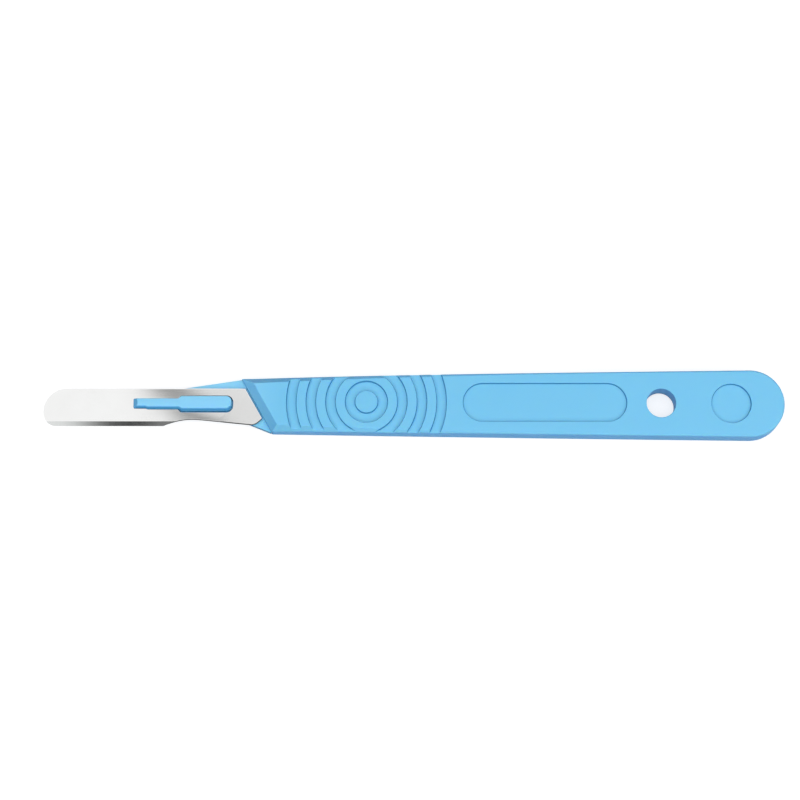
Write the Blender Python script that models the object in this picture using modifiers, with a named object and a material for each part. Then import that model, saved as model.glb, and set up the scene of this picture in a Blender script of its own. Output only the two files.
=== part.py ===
"""Disposable scalpel: one moulded plastic handle and one steel blade locked on its boss.

Units are metres and +Z is up. X runs from the blade's tip to the handle's tail, Y runs
across the handle, and Z through its thickness. The handle lies on its flat back at Z = 0,
and X = 0 is the middle of the overall length.
"""
import math

import bmesh
import bpy
from mathutils import Matrix, Vector

MM = 0.001

# Handle body, seen from the front face. Lengths along X are taken on the middle line
BODY_LENGTH = 107.1 * MM
BODY_THICKNESS = 4.5 * MM
TAIL_RADIUS = 6.9 * MM
FRONT_HALF_WIDTH = 5.35 * MM
SIDE_BULGE = 0.11 * MM
SHOULDER_SLANT = math.radians(29.4)
SHOULDER_RUN = 1.9 * MM
SHOULDER_DROP = 1.7 * MM
CHAMFER_WIDTH = 1.3 * MM
CHAMFER_LENGTH = 73.0 * MM
EDGE_BREAK = 0.25 * MM
CHAMFER_WIDTH_POWER = 1.2
CHAMFER_DROP_POWER = 3.0

# Neck and tongue, the thin plate that carries the blade
NECK_THICKNESS = 1.6 * MM
NECK_BACK_STEP = 0.6 * MM
NECK_UPPER_RUN = 19.0 * MM
NECK_LOWER_RUN = 10.0 * MM
NECK_INSET = 0.06 * MM
NECK_ROOT = 6.0 * MM
TONGUE_HALF_WIDTH = 2.3 * MM
TONGUE_OVERHANG = 1.3 * MM
TONGUE_CORNER = 1.2 * MM
NECK_BEND_RADIUS = 9.0 * MM

# Boss: a key-shaped lug whose narrow front has lips that overhang the blade
BOSS_Y = 0.2 * MM
BOSS_SETBACK = 4.6 * MM
BOSS_LENGTH = 20.0 * MM
BOSS_WIDE_LENGTH = 10.3 * MM
BOSS_WIDE_WIDTH = 3.1 * MM
BOSS_LIP_WIDTH = 2.1 * MM
BOSS_STEM_WIDTH = 1.2 * MM
BOSS_PROUD = 0.95 * MM
BOSS_FLARE = 0.6 * MM
BOSS_REAR_CORNER = 1.1 * MM
BOSS_FRONT_CORNER = 0.2 * MM
BOSS_EDGE_ROUND = 0.3 * MM
BOSS_NOSE_RAMP = 0.9 * MM
BOSS_NOSE_DROP = 0.5 * MM

# Blade
BLADE_LENGTH = 42.55 * MM
BLADE_THICKNESS = 0.4 * MM
SPINE_Y = 3.5 * MM
CUTTING_EDGE_Y = -4.3 * MM
TIP_UPPER_RADIUS = 4.7 * MM
TIP_LOWER_RADIUS = 2.6 * MM
TIP_FRONT_Y = -1.3 * MM
WAIST_SETBACK = 12.9 * MM
WAIST_RUN = 5.6 * MM
WAIST_RISE = 1.3 * MM
HEEL_RISE = 0.1 * MM
HEEL_RADIUS = 1.3 * MM
GROUND_WIDTH = 0.95 * MM
CUTTING_EDGE_LAND = 0.04 * MM

# Clearances between the blade and the handle
FIT_GAP = 0.15 * MM
SLOT_REAR_GAP = 0.2 * MM
SHOULDER_GAP = 0.35 * MM

# Grip rings: round steps about one centre, with every second band sunk, less on the back
GRIP_SETBACK = 22.6 * MM
GRIP_Y = 0.33 * MM
RING_FIRST_RADIUS = 2.31 * MM
RING_PITCH = 1.98 * MM
GROOVE_COUNT = 4
GROOVE_DEPTH = 0.7 * MM
BACK_GROOVE_DEPTH = 0.2 * MM

# Hang hole and the recessed fields
HOLE_RADIUS = 2.95 * MM
HOLE_Y = 0.08 * MM
HOLE_FROM_TAIL = 24.95 * MM
FIELD_DEPTH = 0.55 * MM
LONG_FIELD_HALF_WIDTH = 3.95 * MM
LONG_FIELD_Y = 0.2 * MM
LONG_FIELD_GRIP_MARGIN = 3.35 * MM
LONG_FIELD_HOLE_MARGIN = 4.0 * MM
ROUND_FIELD_RADIUS = 4.0 * MM
ROUND_FIELD_FROM_TAIL = 10.8 * MM

# How finely round shapes are divided
SIDE_STEPS = 24
TAIL_STEPS = 40
RING_STEPS = 112
HOLE_STEPS = 64
FIELD_STEPS = 28
CORNER_STEPS = 8
CURVE_STEPS = 14
SHARP_ANGLE = math.radians(30.0)

# Finishes: colour, roughness and metallic value
HANDLE_FINISH = ((0.198, 0.565, 0.855, 1.0), 0.38, 0.0)
BLADE_FINISH = ((0.72, 0.74, 0.75, 1.0), 0.22, 1.0)

# Places along X and Z that follow from the sizes
TAIL_X = (BODY_LENGTH + SHOULDER_GAP + BLADE_LENGTH) / 2.0
SHOULDER_X = TAIL_X - BODY_LENGTH
TAIL_CENTRE_X = TAIL_X - TAIL_RADIUS
NECK_BOTTOM_Z = NECK_BACK_STEP
SEAT_Z = NECK_BOTTOM_Z + NECK_THICKNESS
BLADE_BOTTOM_Z = SEAT_Z + FIT_GAP
BLADE_TOP_Z = BLADE_BOTTOM_Z + BLADE_THICKNESS
LIP_BOTTOM_Z = BLADE_TOP_Z + FIT_GAP
BOSS_TOP_Z = BLADE_TOP_Z + BOSS_PROUD
LIP_MIDDLE_Z = (LIP_BOTTOM_Z + BOSS_TOP_Z) / 2.0
BOSS_REAR_X = SHOULDER_X - BOSS_SETBACK
BOSS_FRONT_X = BOSS_REAR_X - BOSS_LENGTH
BOSS_STEP_X = BOSS_REAR_X - BOSS_WIDE_LENGTH
TONGUE_TIP_X = BOSS_FRONT_X - TONGUE_OVERHANG
GRIP_X = SHOULDER_X + GRIP_SETBACK
HOLE_X = TAIL_X - HOLE_FROM_TAIL
BLADE_TIP_X = SHOULDER_X - SHOULDER_GAP - BLADE_LENGTH
WAIST_X = SHOULDER_X - WAIST_SETBACK


def clear_scene():
    """Remove everything that a new file or an earlier run holds."""
    for item in list(bpy.data.objects):
        bpy.data.objects.remove(item, do_unlink=True)
    for group in list(bpy.data.collections):
        bpy.data.collections.remove(group)


def new_collection(name):
    """Make a collection in the scene."""
    group = bpy.data.collections.new(name)
    bpy.context.scene.collection.children.link(group)
    return group


def new_material(name, finish):
    """Make a Principled material from a colour, a roughness and a metallic value."""
    colour, roughness, metallic = finish
    material = bpy.data.materials.new(name)
    material.use_nodes = True
    shader = material.node_tree.nodes["Principled BSDF"]
    shader.inputs["Base Color"].default_value = colour
    shader.inputs["Roughness"].default_value = roughness
    shader.inputs["Metallic"].default_value = metallic
    return material


def arc(centre, radii, start, end, steps):
    """Points on an ellipse's arc, from one angle to the other, both ends included."""
    points = []
    for step in range(steps + 1):
        angle = math.radians(start + (end - start) * step / steps)
        points.append((centre[0] + radii[0] * math.cos(angle), centre[1] + radii[1] * math.sin(angle)))
    return points


def bezier(start, start_handle, end_handle, end, steps):
    """Points on a cubic curve between two points, without its first point."""
    points = []
    for step in range(1, steps + 1):
        t = step / steps
        s = 1.0 - t
        weights = (s * s * s, 3.0 * s * s * t, 3.0 * s * t * t, t * t * t)
        knots = (start, start_handle, end_handle, end)
        points.append(tuple(sum(w * knot[axis] for w, knot in zip(weights, knots)) for axis in (0, 1)))
    return points


def rounded_corner(before, corner, after, radius):
    """Points on the arc that rounds the corner between two straight edges."""
    back = (Vector(before[:2]) - Vector(corner[:2])).normalized()
    on = (Vector(after[:2]) - Vector(corner[:2])).normalized()
    half_angle = back.angle(on) / 2.0
    centre = Vector(corner[:2]) + (back + on).normalized() * radius / math.sin(half_angle)
    reach = radius / math.tan(half_angle)
    first = Vector(corner[:2]) + back * reach - centre
    last = Vector(corner[:2]) + on * reach - centre
    start = math.degrees(math.atan2(first.y, first.x))
    turn = (math.degrees(math.atan2(last.y, last.x)) - start + 180.0) % 360.0 - 180.0
    return arc(centre, (radius, radius), start, start + turn, CORNER_STEPS)


def rounded_polygon(corners):
    """A closed outline from corners of x, y and rounding radius, where 0 keeps a corner sharp."""
    points = []
    for index, corner in enumerate(corners):
        if corner[2] > 0.0:
            after = corners[(index + 1) % len(corners)]
            points.extend(rounded_corner(corners[index - 1], corner, after, corner[2]))
        else:
            points.append(corner[:2])
    return points


def mesh_from_curve(curve_object, collection):
    """Turn a filled curve into a closed mesh object and drop the curve."""
    bpy.context.view_layer.update()
    evaluated = curve_object.evaluated_get(bpy.context.evaluated_depsgraph_get())
    mesh = bpy.data.meshes.new_from_object(evaluated)
    work = bmesh.new()
    work.from_mesh(mesh)
    bmesh.ops.remove_doubles(work, verts=work.verts, dist=0.001 * MM)
    bmesh.ops.recalc_face_normals(work, faces=work.faces)
    work.to_mesh(mesh)
    work.free()
    solid = bpy.data.objects.new(curve_object.name, mesh)
    solid.matrix_world = curve_object.matrix_world.copy()
    bpy.data.objects.remove(curve_object, do_unlink=True)
    solid.name = mesh.name
    collection.objects.link(solid)
    return solid


def extruded(name, loops, low, high, collection, placement=None):
    """Extrude flat closed loops, the later ones as holes, from one height to the other."""
    curve = bpy.data.curves.new(name, "CURVE")
    curve.dimensions = "2D"
    curve.fill_mode = "BOTH"
    curve.extrude = (high - low) / 2.0
    for loop in loops:
        spline = curve.splines.new("POLY")
        spline.points.add(len(loop) - 1)
        for point, (x, y) in zip(spline.points, loop):
            point.co = (x, y, 0.0, 1.0)
        spline.use_cyclic_u = True
    outline = bpy.data.objects.new(name, curve)
    collection.objects.link(outline)
    turn = placement or Matrix.Identity(4)
    outline.matrix_world = turn @ Matrix.Translation((0.0, 0.0, (low + high) / 2.0))
    return mesh_from_curve(outline, collection)


def as_tool(solid):
    """Mark an object as one that only shapes another."""
    solid.hide_render = True
    solid.display_type = "WIRE"
    return solid


def combine(target, tool, operation):
    """Cut the target by a tool, or join the tool to it."""
    modifier = target.modifiers.new(tool.name, "BOOLEAN")
    modifier.operation = operation
    modifier.solver = "EXACT"
    modifier.object = as_tool(tool)


def round_edges(solid, width, angle):
    """Round the edges of a tool before it is joined."""
    bevel = solid.modifiers.new("rounding", "BEVEL")
    bevel.width = width
    bevel.segments = 2
    bevel.limit_method = "ANGLE"
    bevel.angle_limit = math.radians(angle)


def half_width(x):
    """Half the body's width at a place along it."""
    share = (x - SHOULDER_X) / (TAIL_CENTRE_X - SHOULDER_X)
    straight = FRONT_HALF_WIDTH + (TAIL_RADIUS - FRONT_HALF_WIDTH) * share
    return straight + 4.0 * SIDE_BULGE * share * (1.0 - share)


def shoulder_at(y):
    """X of the slanted shoulder line at a distance across the handle."""
    return SHOULDER_X - y * math.tan(SHOULDER_SLANT)


def forward_share(x):
    """How far forward a place lies: 0 where the side chamfer dies out, 1 at the shoulder."""
    return max(0.0, min(1.0, 1.0 - (x - SHOULDER_X) / CHAMFER_LENGTH))


def chamfer_size(x):
    """Width and depth of the front face's side chamfer at a place along the body."""
    share = forward_share(x)
    width = EDGE_BREAK + (CHAMFER_WIDTH - EDGE_BREAK) * share ** CHAMFER_WIDTH_POWER
    drop = EDGE_BREAK + (SHOULDER_DROP - EDGE_BREAK) * share ** CHAMFER_DROP_POWER
    return width, drop


def body_corner(side, inset, run):
    """A front corner of the body, moved in from its side and back from its shoulder."""
    x = shoulder_at(side * half_width(SHOULDER_X))
    for _ in range(4):
        x = shoulder_at(side * (half_width(x) - inset)) + run / math.cos(SHOULDER_SLANT)
    return x


def body_ring(inset, run, height):
    """One closed ring round the body. Inset and height are functions of X."""
    points = []
    for side in (-1.0, 1.0):
        first_x = body_corner(side, inset(SHOULDER_X), run)
        stretch = []
        for step in range(SIDE_STEPS + 1):
            x = first_x + (TAIL_CENTRE_X - first_x) * step / SIDE_STEPS
            stretch.append((x, side * (half_width(x) - inset(x)), height(x)))
        stretch[0] = (first_x, stretch[0][1], height(SHOULDER_X))
        if side < 0.0:
            points.extend(stretch)
            radius = TAIL_RADIUS - inset(TAIL_X)
            tail = arc((TAIL_CENTRE_X, 0.0), (radius, radius), -90.0, 90.0, TAIL_STEPS)
            points.extend((x, y, height(TAIL_X)) for x, y in tail[1:-1])
        else:
            points.extend(reversed(stretch))
    return points


def lofted(name, rings, collection):
    """Skin a stack of rings with the same number of points, and close both ends."""
    mesh = bpy.data.meshes.new(name)
    work = bmesh.new()
    stack = [[work.verts.new(point) for point in ring] for ring in rings]
    for lower, upper in zip(stack, stack[1:]):
        for index in range(len(lower)):
            after = (index + 1) % len(lower)
            work.faces.new((lower[index], lower[after], upper[after], upper[index]))
    work.faces.new(list(reversed(stack[0])))
    work.faces.new(stack[-1])
    bmesh.ops.recalc_face_normals(work, faces=work.faces)
    work.to_mesh(mesh)
    work.free()
    solid = bpy.data.objects.new(name, mesh)
    collection.objects.link(solid)
    return solid


def build_body(collection):
    """The body: a tapered bar with a round tail, a slanted shoulder and a side chamfer."""
    def no_inset(x):
        return 0.0

    def broken_edge(x):
        return EDGE_BREAK

    rings = (
        body_ring(broken_edge, EDGE_BREAK, lambda x: 0.0),
        body_ring(no_inset, 0.0, lambda x: EDGE_BREAK),
        body_ring(no_inset, 0.0, lambda x: BODY_THICKNESS - chamfer_size(x)[1]),
        body_ring(lambda x: chamfer_size(x)[0], SHOULDER_RUN, lambda x: BODY_THICKNESS),
    )
    return lofted("handle", rings, collection)


def neck_outline():
    """The neck and tongue from above: it narrows from the shoulder to the tongue."""
    upper_x = body_corner(1.0, NECK_INSET, 0.0)
    lower_x = body_corner(-1.0, NECK_INSET, 0.0)
    upper_y = half_width(upper_x) - NECK_INSET
    lower_y = NECK_INSET - half_width(lower_x)
    root_x = lower_x + NECK_ROOT
    tongue_top = BOSS_Y + TONGUE_HALF_WIDTH
    tongue_bottom = BOSS_Y - TONGUE_HALF_WIDTH
    return rounded_polygon([
        (root_x, lower_y + NECK_INSET, 0.0),
        (root_x, upper_y - NECK_INSET, 0.0),
        (upper_x, upper_y, 0.0),
        (upper_x - NECK_UPPER_RUN, tongue_top, NECK_BEND_RADIUS),
        (TONGUE_TIP_X, tongue_top, TONGUE_CORNER),
        (TONGUE_TIP_X, tongue_bottom, TONGUE_CORNER),
        (lower_x - NECK_LOWER_RUN, tongue_bottom, NECK_BEND_RADIUS),
        (lower_x, lower_y, 0.0),
    ])


def key_outline(wide, narrow, front_x, step_x, rear_x, corner):
    """The key shape shared by the boss and the blade's slot: narrow ahead, wide behind."""
    top = BOSS_Y + wide / 2.0
    bottom = BOSS_Y - wide / 2.0
    front_top = BOSS_Y + narrow / 2.0
    front_bottom = BOSS_Y - narrow / 2.0
    return rounded_polygon([
        (front_x, front_bottom, BOSS_FRONT_CORNER),
        (step_x - BOSS_FLARE, front_bottom, 0.0),
        (step_x, bottom, 0.0),
        (rear_x, bottom, corner),
        (rear_x, top, corner),
        (step_x, top, 0.0),
        (step_x - BOSS_FLARE, front_top, 0.0),
        (front_x, front_top, BOSS_FRONT_CORNER),
    ])


def build_boss(collection):
    """The stem that fills the blade's slot, and the head that locks over its narrow end."""
    stem = key_outline(
        BOSS_WIDE_WIDTH, BOSS_STEM_WIDTH, BOSS_FRONT_X + 2.0 * FIT_GAP, BOSS_STEP_X, BOSS_REAR_X,
        BOSS_REAR_CORNER)
    head = key_outline(
        BOSS_WIDE_WIDTH, BOSS_LIP_WIDTH, BOSS_FRONT_X, BOSS_STEP_X, BOSS_REAR_X, BOSS_REAR_CORNER)
    stem_solid = extruded("boss_stem", [stem], SEAT_Z - NECK_THICKNESS / 2.0, LIP_MIDDLE_Z, collection)
    head_solid = extruded("boss_head", [head], LIP_BOTTOM_Z, BOSS_TOP_Z, collection)
    round_edges(head_solid, BOSS_EDGE_ROUND, 40.0)
    return stem_solid, head_solid


def nose_ramp_cutter(collection):
    """A wedge that slopes the boss's front end down towards the blade."""
    half_span = BOSS_WIDE_WIDTH
    slope = BOSS_NOSE_DROP / BOSS_NOSE_RAMP
    low = (BOSS_FRONT_X - FIT_GAP, BOSS_TOP_Z - BOSS_NOSE_DROP - slope * FIT_GAP)
    high = (BOSS_FRONT_X + BOSS_NOSE_RAMP, BOSS_TOP_Z)
    above = BOSS_TOP_Z + BOSS_PROUD
    run_out = (high[0] + (above - high[1]) / slope, above)
    placement = Matrix.Translation((0.0, BOSS_Y, 0.0)) @ Matrix.Rotation(math.radians(90.0), 4, "X")
    return extruded("nose_ramp", [[low, run_out, (low[0], above)]], -half_span, half_span, collection, placement)


def groove_loops(index):
    """Outer and inner circle of one sunk grip band."""
    inner = RING_FIRST_RADIUS + 2.0 * index * RING_PITCH
    outer = inner + RING_PITCH
    return [arc((GRIP_X, GRIP_Y), (radius, radius), 0.0, 360.0, RING_STEPS)[:-1] for radius in (outer, inner)]


def stadium(start_x, end_x, middle_y, radius):
    """A long outline with round ends."""
    rear = arc((end_x - radius, middle_y), (radius, radius), -90.0, 90.0, FIELD_STEPS)
    front = arc((start_x + radius, middle_y), (radius, radius), 90.0, 270.0, FIELD_STEPS)
    return rear + front


def build_handle(collection, tools):
    """The whole moulding: body, neck, boss, grip bands, fields and hang hole."""
    handle = build_body(collection)
    combine(handle, extruded("neck", [neck_outline()], NECK_BOTTOM_Z, SEAT_Z, tools), "UNION")
    stem, head = build_boss(tools)
    combine(handle, stem, "UNION")
    combine(handle, head, "UNION")
    combine(handle, nose_ramp_cutter(tools), "DIFFERENCE")
    above = BODY_THICKNESS + 1.0 * MM
    below = -1.0 * MM
    for index in range(GROOVE_COUNT):
        loops = groove_loops(index)
        front = extruded("front_band_%d" % (index + 1), loops, BODY_THICKNESS - GROOVE_DEPTH, above, tools)
        combine(handle, front, "DIFFERENCE")
        back = extruded("back_band_%d" % (index + 1), loops, below, BACK_GROOVE_DEPTH, tools)
        combine(handle, back, "DIFFERENCE")
    grip_end = GRIP_X + RING_FIRST_RADIUS + (2 * GROOVE_COUNT - 1) * RING_PITCH
    long_field = stadium(
        grip_end + LONG_FIELD_GRIP_MARGIN, HOLE_X - HOLE_RADIUS - LONG_FIELD_HOLE_MARGIN,
        LONG_FIELD_Y, LONG_FIELD_HALF_WIDTH)
    round_field = arc(
        (TAIL_X - ROUND_FIELD_FROM_TAIL, 0.0), (ROUND_FIELD_RADIUS, ROUND_FIELD_RADIUS), 0.0, 360.0,
        2 * FIELD_STEPS)[:-1]
    hole = arc((HOLE_X, HOLE_Y), (HOLE_RADIUS, HOLE_RADIUS), 0.0, 360.0, HOLE_STEPS)[:-1]
    field_floor = BODY_THICKNESS - FIELD_DEPTH
    combine(handle, extruded("long_field", [long_field], field_floor, above, tools), "DIFFERENCE")
    combine(handle, extruded("round_field", [round_field], field_floor, above, tools), "DIFFERENCE")
    combine(handle, extruded("hang_hole", [hole], below, above, tools), "DIFFERENCE")
    handle.data.materials.append(new_material("handle_plastic", HANDLE_FINISH))
    return handle


def blade_rear_at(y):
    """X of the blade's slanted rear edge at a distance across it."""
    return shoulder_at(y) - SHOULDER_GAP


def blade_outline():
    """The blade from above: straight spine, round tip, straight edge, waist and heel."""
    upper_centre = (BLADE_TIP_X + TIP_UPPER_RADIUS, TIP_FRONT_Y)
    lower_centre = (BLADE_TIP_X + TIP_LOWER_RADIUS, TIP_FRONT_Y)
    upper_radii = (TIP_UPPER_RADIUS, SPINE_Y - TIP_FRONT_Y)
    lower_radii = (TIP_LOWER_RADIUS, TIP_FRONT_Y - CUTTING_EDGE_Y)
    heel_y = CUTTING_EDGE_Y + HEEL_RISE
    edge_end = (WAIST_X - WAIST_RUN, CUTTING_EDGE_Y)
    waist = (WAIST_X, CUTTING_EDGE_Y + WAIST_RISE)
    heel = (blade_rear_at(heel_y), heel_y)
    rear_top = (blade_rear_at(SPINE_Y), SPINE_Y)
    points = [rear_top]
    points.extend(arc(upper_centre, upper_radii, 90.0, 180.0, CURVE_STEPS))
    points.extend(arc(lower_centre, lower_radii, 180.0, 270.0, CURVE_STEPS)[1:])
    points.append(edge_end)
    rise = (edge_end[0] + WAIST_RUN / 4.0, CUTTING_EDGE_Y + WAIST_RISE / 2.0)
    points.extend(bezier(edge_end, rise, (waist[0] - WAIST_RUN / 3.0, waist[1]), waist, CURVE_STEPS))
    rounding = rounded_corner(waist, heel, rear_top, HEEL_RADIUS)
    to_heel = rounding[0][0] - waist[0]
    slope = (heel[1] - waist[1]) / (heel[0] - waist[0])
    before_heel = (rounding[0][0] - to_heel / 2.0, rounding[0][1] - slope * to_heel / 2.0)
    points.extend(bezier(waist, (waist[0] + to_heel / 6.0, waist[1]), before_heel, rounding[0], CURVE_STEPS))
    points.extend(rounding[1:])
    return points


def ground_cutter(name, face_z, edge_z, away, collection):
    """A wedge along the cutting edge that grinds one side of the blade."""
    outside_y = CUTTING_EDGE_Y - GROUND_WIDTH
    slope = (edge_z - face_z) / (-GROUND_WIDTH)
    outside_z = face_z + slope * (outside_y - (CUTTING_EDGE_Y + GROUND_WIDTH))
    inside = (CUTTING_EDGE_Y + GROUND_WIDTH - away / slope, face_z - away)
    profile = [inside, (outside_y, outside_z), (outside_y, face_z - away)]
    placement = Matrix(((0, 0, 1, 0), (1, 0, 0, 0), (0, 1, 0, 0), (0, 0, 0, 1)))
    return extruded(name, [profile], BLADE_TIP_X - 1.0 * MM, WAIST_X, collection, placement)


def build_blade(collection, tools):
    """The blade: a thin plate with a key-shaped slot and an edge ground on both sides."""
    slot = key_outline(
        BOSS_WIDE_WIDTH + 2.0 * FIT_GAP, BOSS_STEM_WIDTH + 2.0 * FIT_GAP, BOSS_FRONT_X + FIT_GAP,
        BOSS_STEP_X - FIT_GAP, BOSS_REAR_X + SLOT_REAR_GAP, BOSS_REAR_CORNER + FIT_GAP)
    blade = extruded("blade", [blade_outline(), slot], BLADE_BOTTOM_Z, BLADE_TOP_Z, collection)
    middle_z = (BLADE_BOTTOM_Z + BLADE_TOP_Z) / 2.0
    half_land = CUTTING_EDGE_LAND / 2.0
    reach = 1.0 * MM
    combine(blade, ground_cutter("upper_grind", BLADE_TOP_Z, middle_z + half_land, -reach, tools), "DIFFERENCE")
    combine(blade, ground_cutter("lower_grind", BLADE_BOTTOM_Z, middle_z - half_land, reach, tools), "DIFFERENCE")
    blade.data.materials.append(new_material("blade_steel", BLADE_FINISH))
    return blade


def smooth_by_angle_tree():
    """A node tree that shades faces smooth and keeps edges sharp past an angle."""
    tree = bpy.data.node_groups.new("smooth_by_angle", "GeometryNodeTree")
    tree.interface.new_socket("Geometry", in_out="INPUT", socket_type="NodeSocketGeometry")
    tree.interface.new_socket("Geometry", in_out="OUTPUT", socket_type="NodeSocketGeometry")
    start = tree.nodes.new("NodeGroupInput")
    end = tree.nodes.new("NodeGroupOutput")
    smooth = tree.nodes.new("GeometryNodeSetShadeSmooth")
    smooth.domain = "FACE"
    sharpen = tree.nodes.new("GeometryNodeSetShadeSmooth")
    sharpen.domain = "EDGE"
    sharpen.inputs["Shade Smooth"].default_value = False
    angle = tree.nodes.new("GeometryNodeInputMeshEdgeAngle")
    steep = tree.nodes.new("FunctionNodeCompare")
    steep.data_type = "FLOAT"
    steep.operation = "GREATER_THAN"
    steep.inputs["B"].default_value = SHARP_ANGLE
    tree.links.new(start.outputs["Geometry"], smooth.inputs["Geometry"])
    tree.links.new(smooth.outputs["Geometry"], sharpen.inputs["Geometry"])
    tree.links.new(angle.outputs["Unsigned Angle"], steep.inputs["A"])
    tree.links.new(steep.outputs["Result"], sharpen.inputs["Selection"])
    tree.links.new(sharpen.outputs["Geometry"], end.inputs["Geometry"])
    return tree


def main():
    """Build the scalpel."""
    clear_scene()
    parts = new_collection("disposable_scalpel")
    tools = new_collection("cutters")
    shading = smooth_by_angle_tree()
    for solid in (build_handle(parts, tools), build_blade(parts, tools)):
        solid.modifiers.new("shading", "NODES").node_group = shading


main()
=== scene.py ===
"""Looks of the disposable scalpel: the moulded handle, its steel blade and the studio round them.

Sizes in the classes are millimetres in the CAD frame: X runs from the blade's tip to the handle's
tail, Y runs across, Z is up, and the handle lies on its back at Z = 0. Meshes are made in metres.
"""
import logging
import math
from collections.abc import Callable, Sequence
from dataclasses import dataclass, field
from enum import Enum

import bmesh
import bpy
import numpy as np
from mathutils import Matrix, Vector
from mathutils.geometry import delaunay_2d_cdt

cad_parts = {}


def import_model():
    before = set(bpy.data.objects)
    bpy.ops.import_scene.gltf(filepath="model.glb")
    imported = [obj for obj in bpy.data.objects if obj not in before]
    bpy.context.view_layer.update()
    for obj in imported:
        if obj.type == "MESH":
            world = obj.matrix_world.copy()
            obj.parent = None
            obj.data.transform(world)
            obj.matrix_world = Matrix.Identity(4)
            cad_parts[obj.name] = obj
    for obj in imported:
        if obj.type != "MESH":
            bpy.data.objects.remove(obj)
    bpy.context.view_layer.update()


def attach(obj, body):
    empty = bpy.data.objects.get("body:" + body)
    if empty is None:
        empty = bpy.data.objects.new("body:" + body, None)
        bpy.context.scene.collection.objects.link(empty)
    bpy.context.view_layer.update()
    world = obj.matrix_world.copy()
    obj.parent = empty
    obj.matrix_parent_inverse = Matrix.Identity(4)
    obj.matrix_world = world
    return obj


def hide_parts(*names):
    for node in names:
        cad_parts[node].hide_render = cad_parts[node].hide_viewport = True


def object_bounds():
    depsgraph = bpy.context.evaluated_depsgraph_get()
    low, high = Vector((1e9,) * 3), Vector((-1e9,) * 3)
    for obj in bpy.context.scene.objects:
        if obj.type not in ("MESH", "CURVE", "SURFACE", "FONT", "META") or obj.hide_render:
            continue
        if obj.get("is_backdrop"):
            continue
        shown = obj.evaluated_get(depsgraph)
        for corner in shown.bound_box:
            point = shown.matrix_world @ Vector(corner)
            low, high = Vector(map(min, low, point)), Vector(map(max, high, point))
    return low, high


MM = 0.001
PLAN_TOLERANCE = 2e-4
SHARP_ANGLE = math.radians(38.0)
FLAT_ANGLE = math.radians(0.05)
FLAT_WEIGHT = 100
BEND_SHARES = (-1.0, -0.5, 0.0, 0.5, 1.0)
RIM_ANGLES = (18.0, 36.0, 54.0, 72.0, 90.0)
CIRCLE_STEPS = 48
CORNER_STEPS = 10
CORNER_ROUNDS = 5
LEAST_TURN = 0.3
LEAST_SQUARE = 1e-12
# A Mix node's colour sockets go by number, because its other kinds share their names.
MIX_FIRST, MIX_LAST, MIX_RESULT = 6, 7, 2

Point = tuple[float, float]
Triple = tuple[float, float, float]
Rgba = tuple[float, float, float, float]
Line = list[Point]
HeightRule = Callable[[float, float, bool], float]
Socket = bpy.types.NodeSocket
Value = float | Triple | Rgba | Socket
Inputs = dict[str | int, Value]

EVEN: Triple = (1.0, 1.0, 1.0)
WHITE: Rgba = (1.0, 1.0, 1.0, 1.0)

log = logging.getLogger("scalpel")


class Facing(Enum):
    """Which face of the handle a feature is cut into."""

    FRONT = 1.0
    BACK = -1.0


def smooth_min(first: float, second: float, width: float) -> float:
    """The lower of two heights, rounded where they meet.

    Args:
        first: One height.
        second: The other height.
        width: Difference in height below which the two blend.

    Returns:
        The blended height.
    """
    share = max(width - abs(first - second), 0.0) / width
    return min(first, second) - share * share * width / 4.0


def smooth_max(first: float, second: float, width: float) -> float:
    """The higher of two heights, rounded where they meet.

    Args:
        first: One height.
        second: The other height.
        width: Difference in height below which the two blend.

    Returns:
        The blended height.
    """
    return -smooth_min(-first, -second, width)


def rim_drop(distance: float, radius: float) -> float:
    """How far a rounded rim lies below its face.

    Args:
        distance: Distance in from the rim.
        radius: Radius of the rounding.

    Returns:
        The drop, which is the radius at the rim and 0 past it.
    """
    reach = max(0.0, radius - max(0.0, distance))
    return radius - math.sqrt(radius * radius - reach * reach)


def rim_steps(radius: float) -> tuple[float, ...]:
    """Distances in from a rim at which its rounding needs points.

    Args:
        radius: Radius of the rounding.

    Returns:
        The distances, which stand closer together near the rim.
    """
    return tuple(radius * (1.0 - math.cos(math.radians(angle))) for angle in RIM_ANGLES)


def arc(centre: Point, radii: Point, start: float, end: float, steps: int) -> Line:
    """Points on an ellipse's arc, both ends included.

    Args:
        centre: Middle of the ellipse.
        radii: Half its width and half its height.
        start: First angle in degrees.
        end: Last angle in degrees.
        steps: Number of pieces of the arc.

    Returns:
        The points in order.
    """
    angles = [math.radians(start + (end - start) * step / steps) for step in range(steps + 1)]
    return [(centre[0] + radii[0] * math.cos(a), centre[1] + radii[1] * math.sin(a)) for a in angles]


def circle(centre: Point, radius: float, spacing: float) -> Line:
    """A closed ring of points whose first point is repeated at its end.

    Args:
        centre: Middle of the ring.
        radius: Its radius.
        spacing: Longest distance between neighbours.

    Returns:
        The points in order.
    """
    steps = max(CIRCLE_STEPS, math.ceil(2.0 * math.pi * radius / spacing))
    return arc(centre, (radius, radius), 0.0, 360.0, steps)


def bezier(start: Point, start_handle: Point, end_handle: Point, end: Point, steps: int) -> Line:
    """Points on a cubic curve, without its first point.

    Args:
        start: Where the curve starts.
        start_handle: The point it heads for at its start.
        end_handle: The point it comes from at its end.
        end: Where the curve ends.
        steps: Number of pieces.

    Returns:
        The points in order.
    """
    points = []
    for step in range(1, steps + 1):
        t = step / steps
        s = 1.0 - t
        weights = (s * s * s, 3.0 * s * s * t, 3.0 * s * t * t, t * t * t)
        knots = (start, start_handle, end_handle, end)
        points.append((
            sum(weight * knot[0] for weight, knot in zip(weights, knots)),
            sum(weight * knot[1] for weight, knot in zip(weights, knots)),
        ))
    return points


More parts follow.
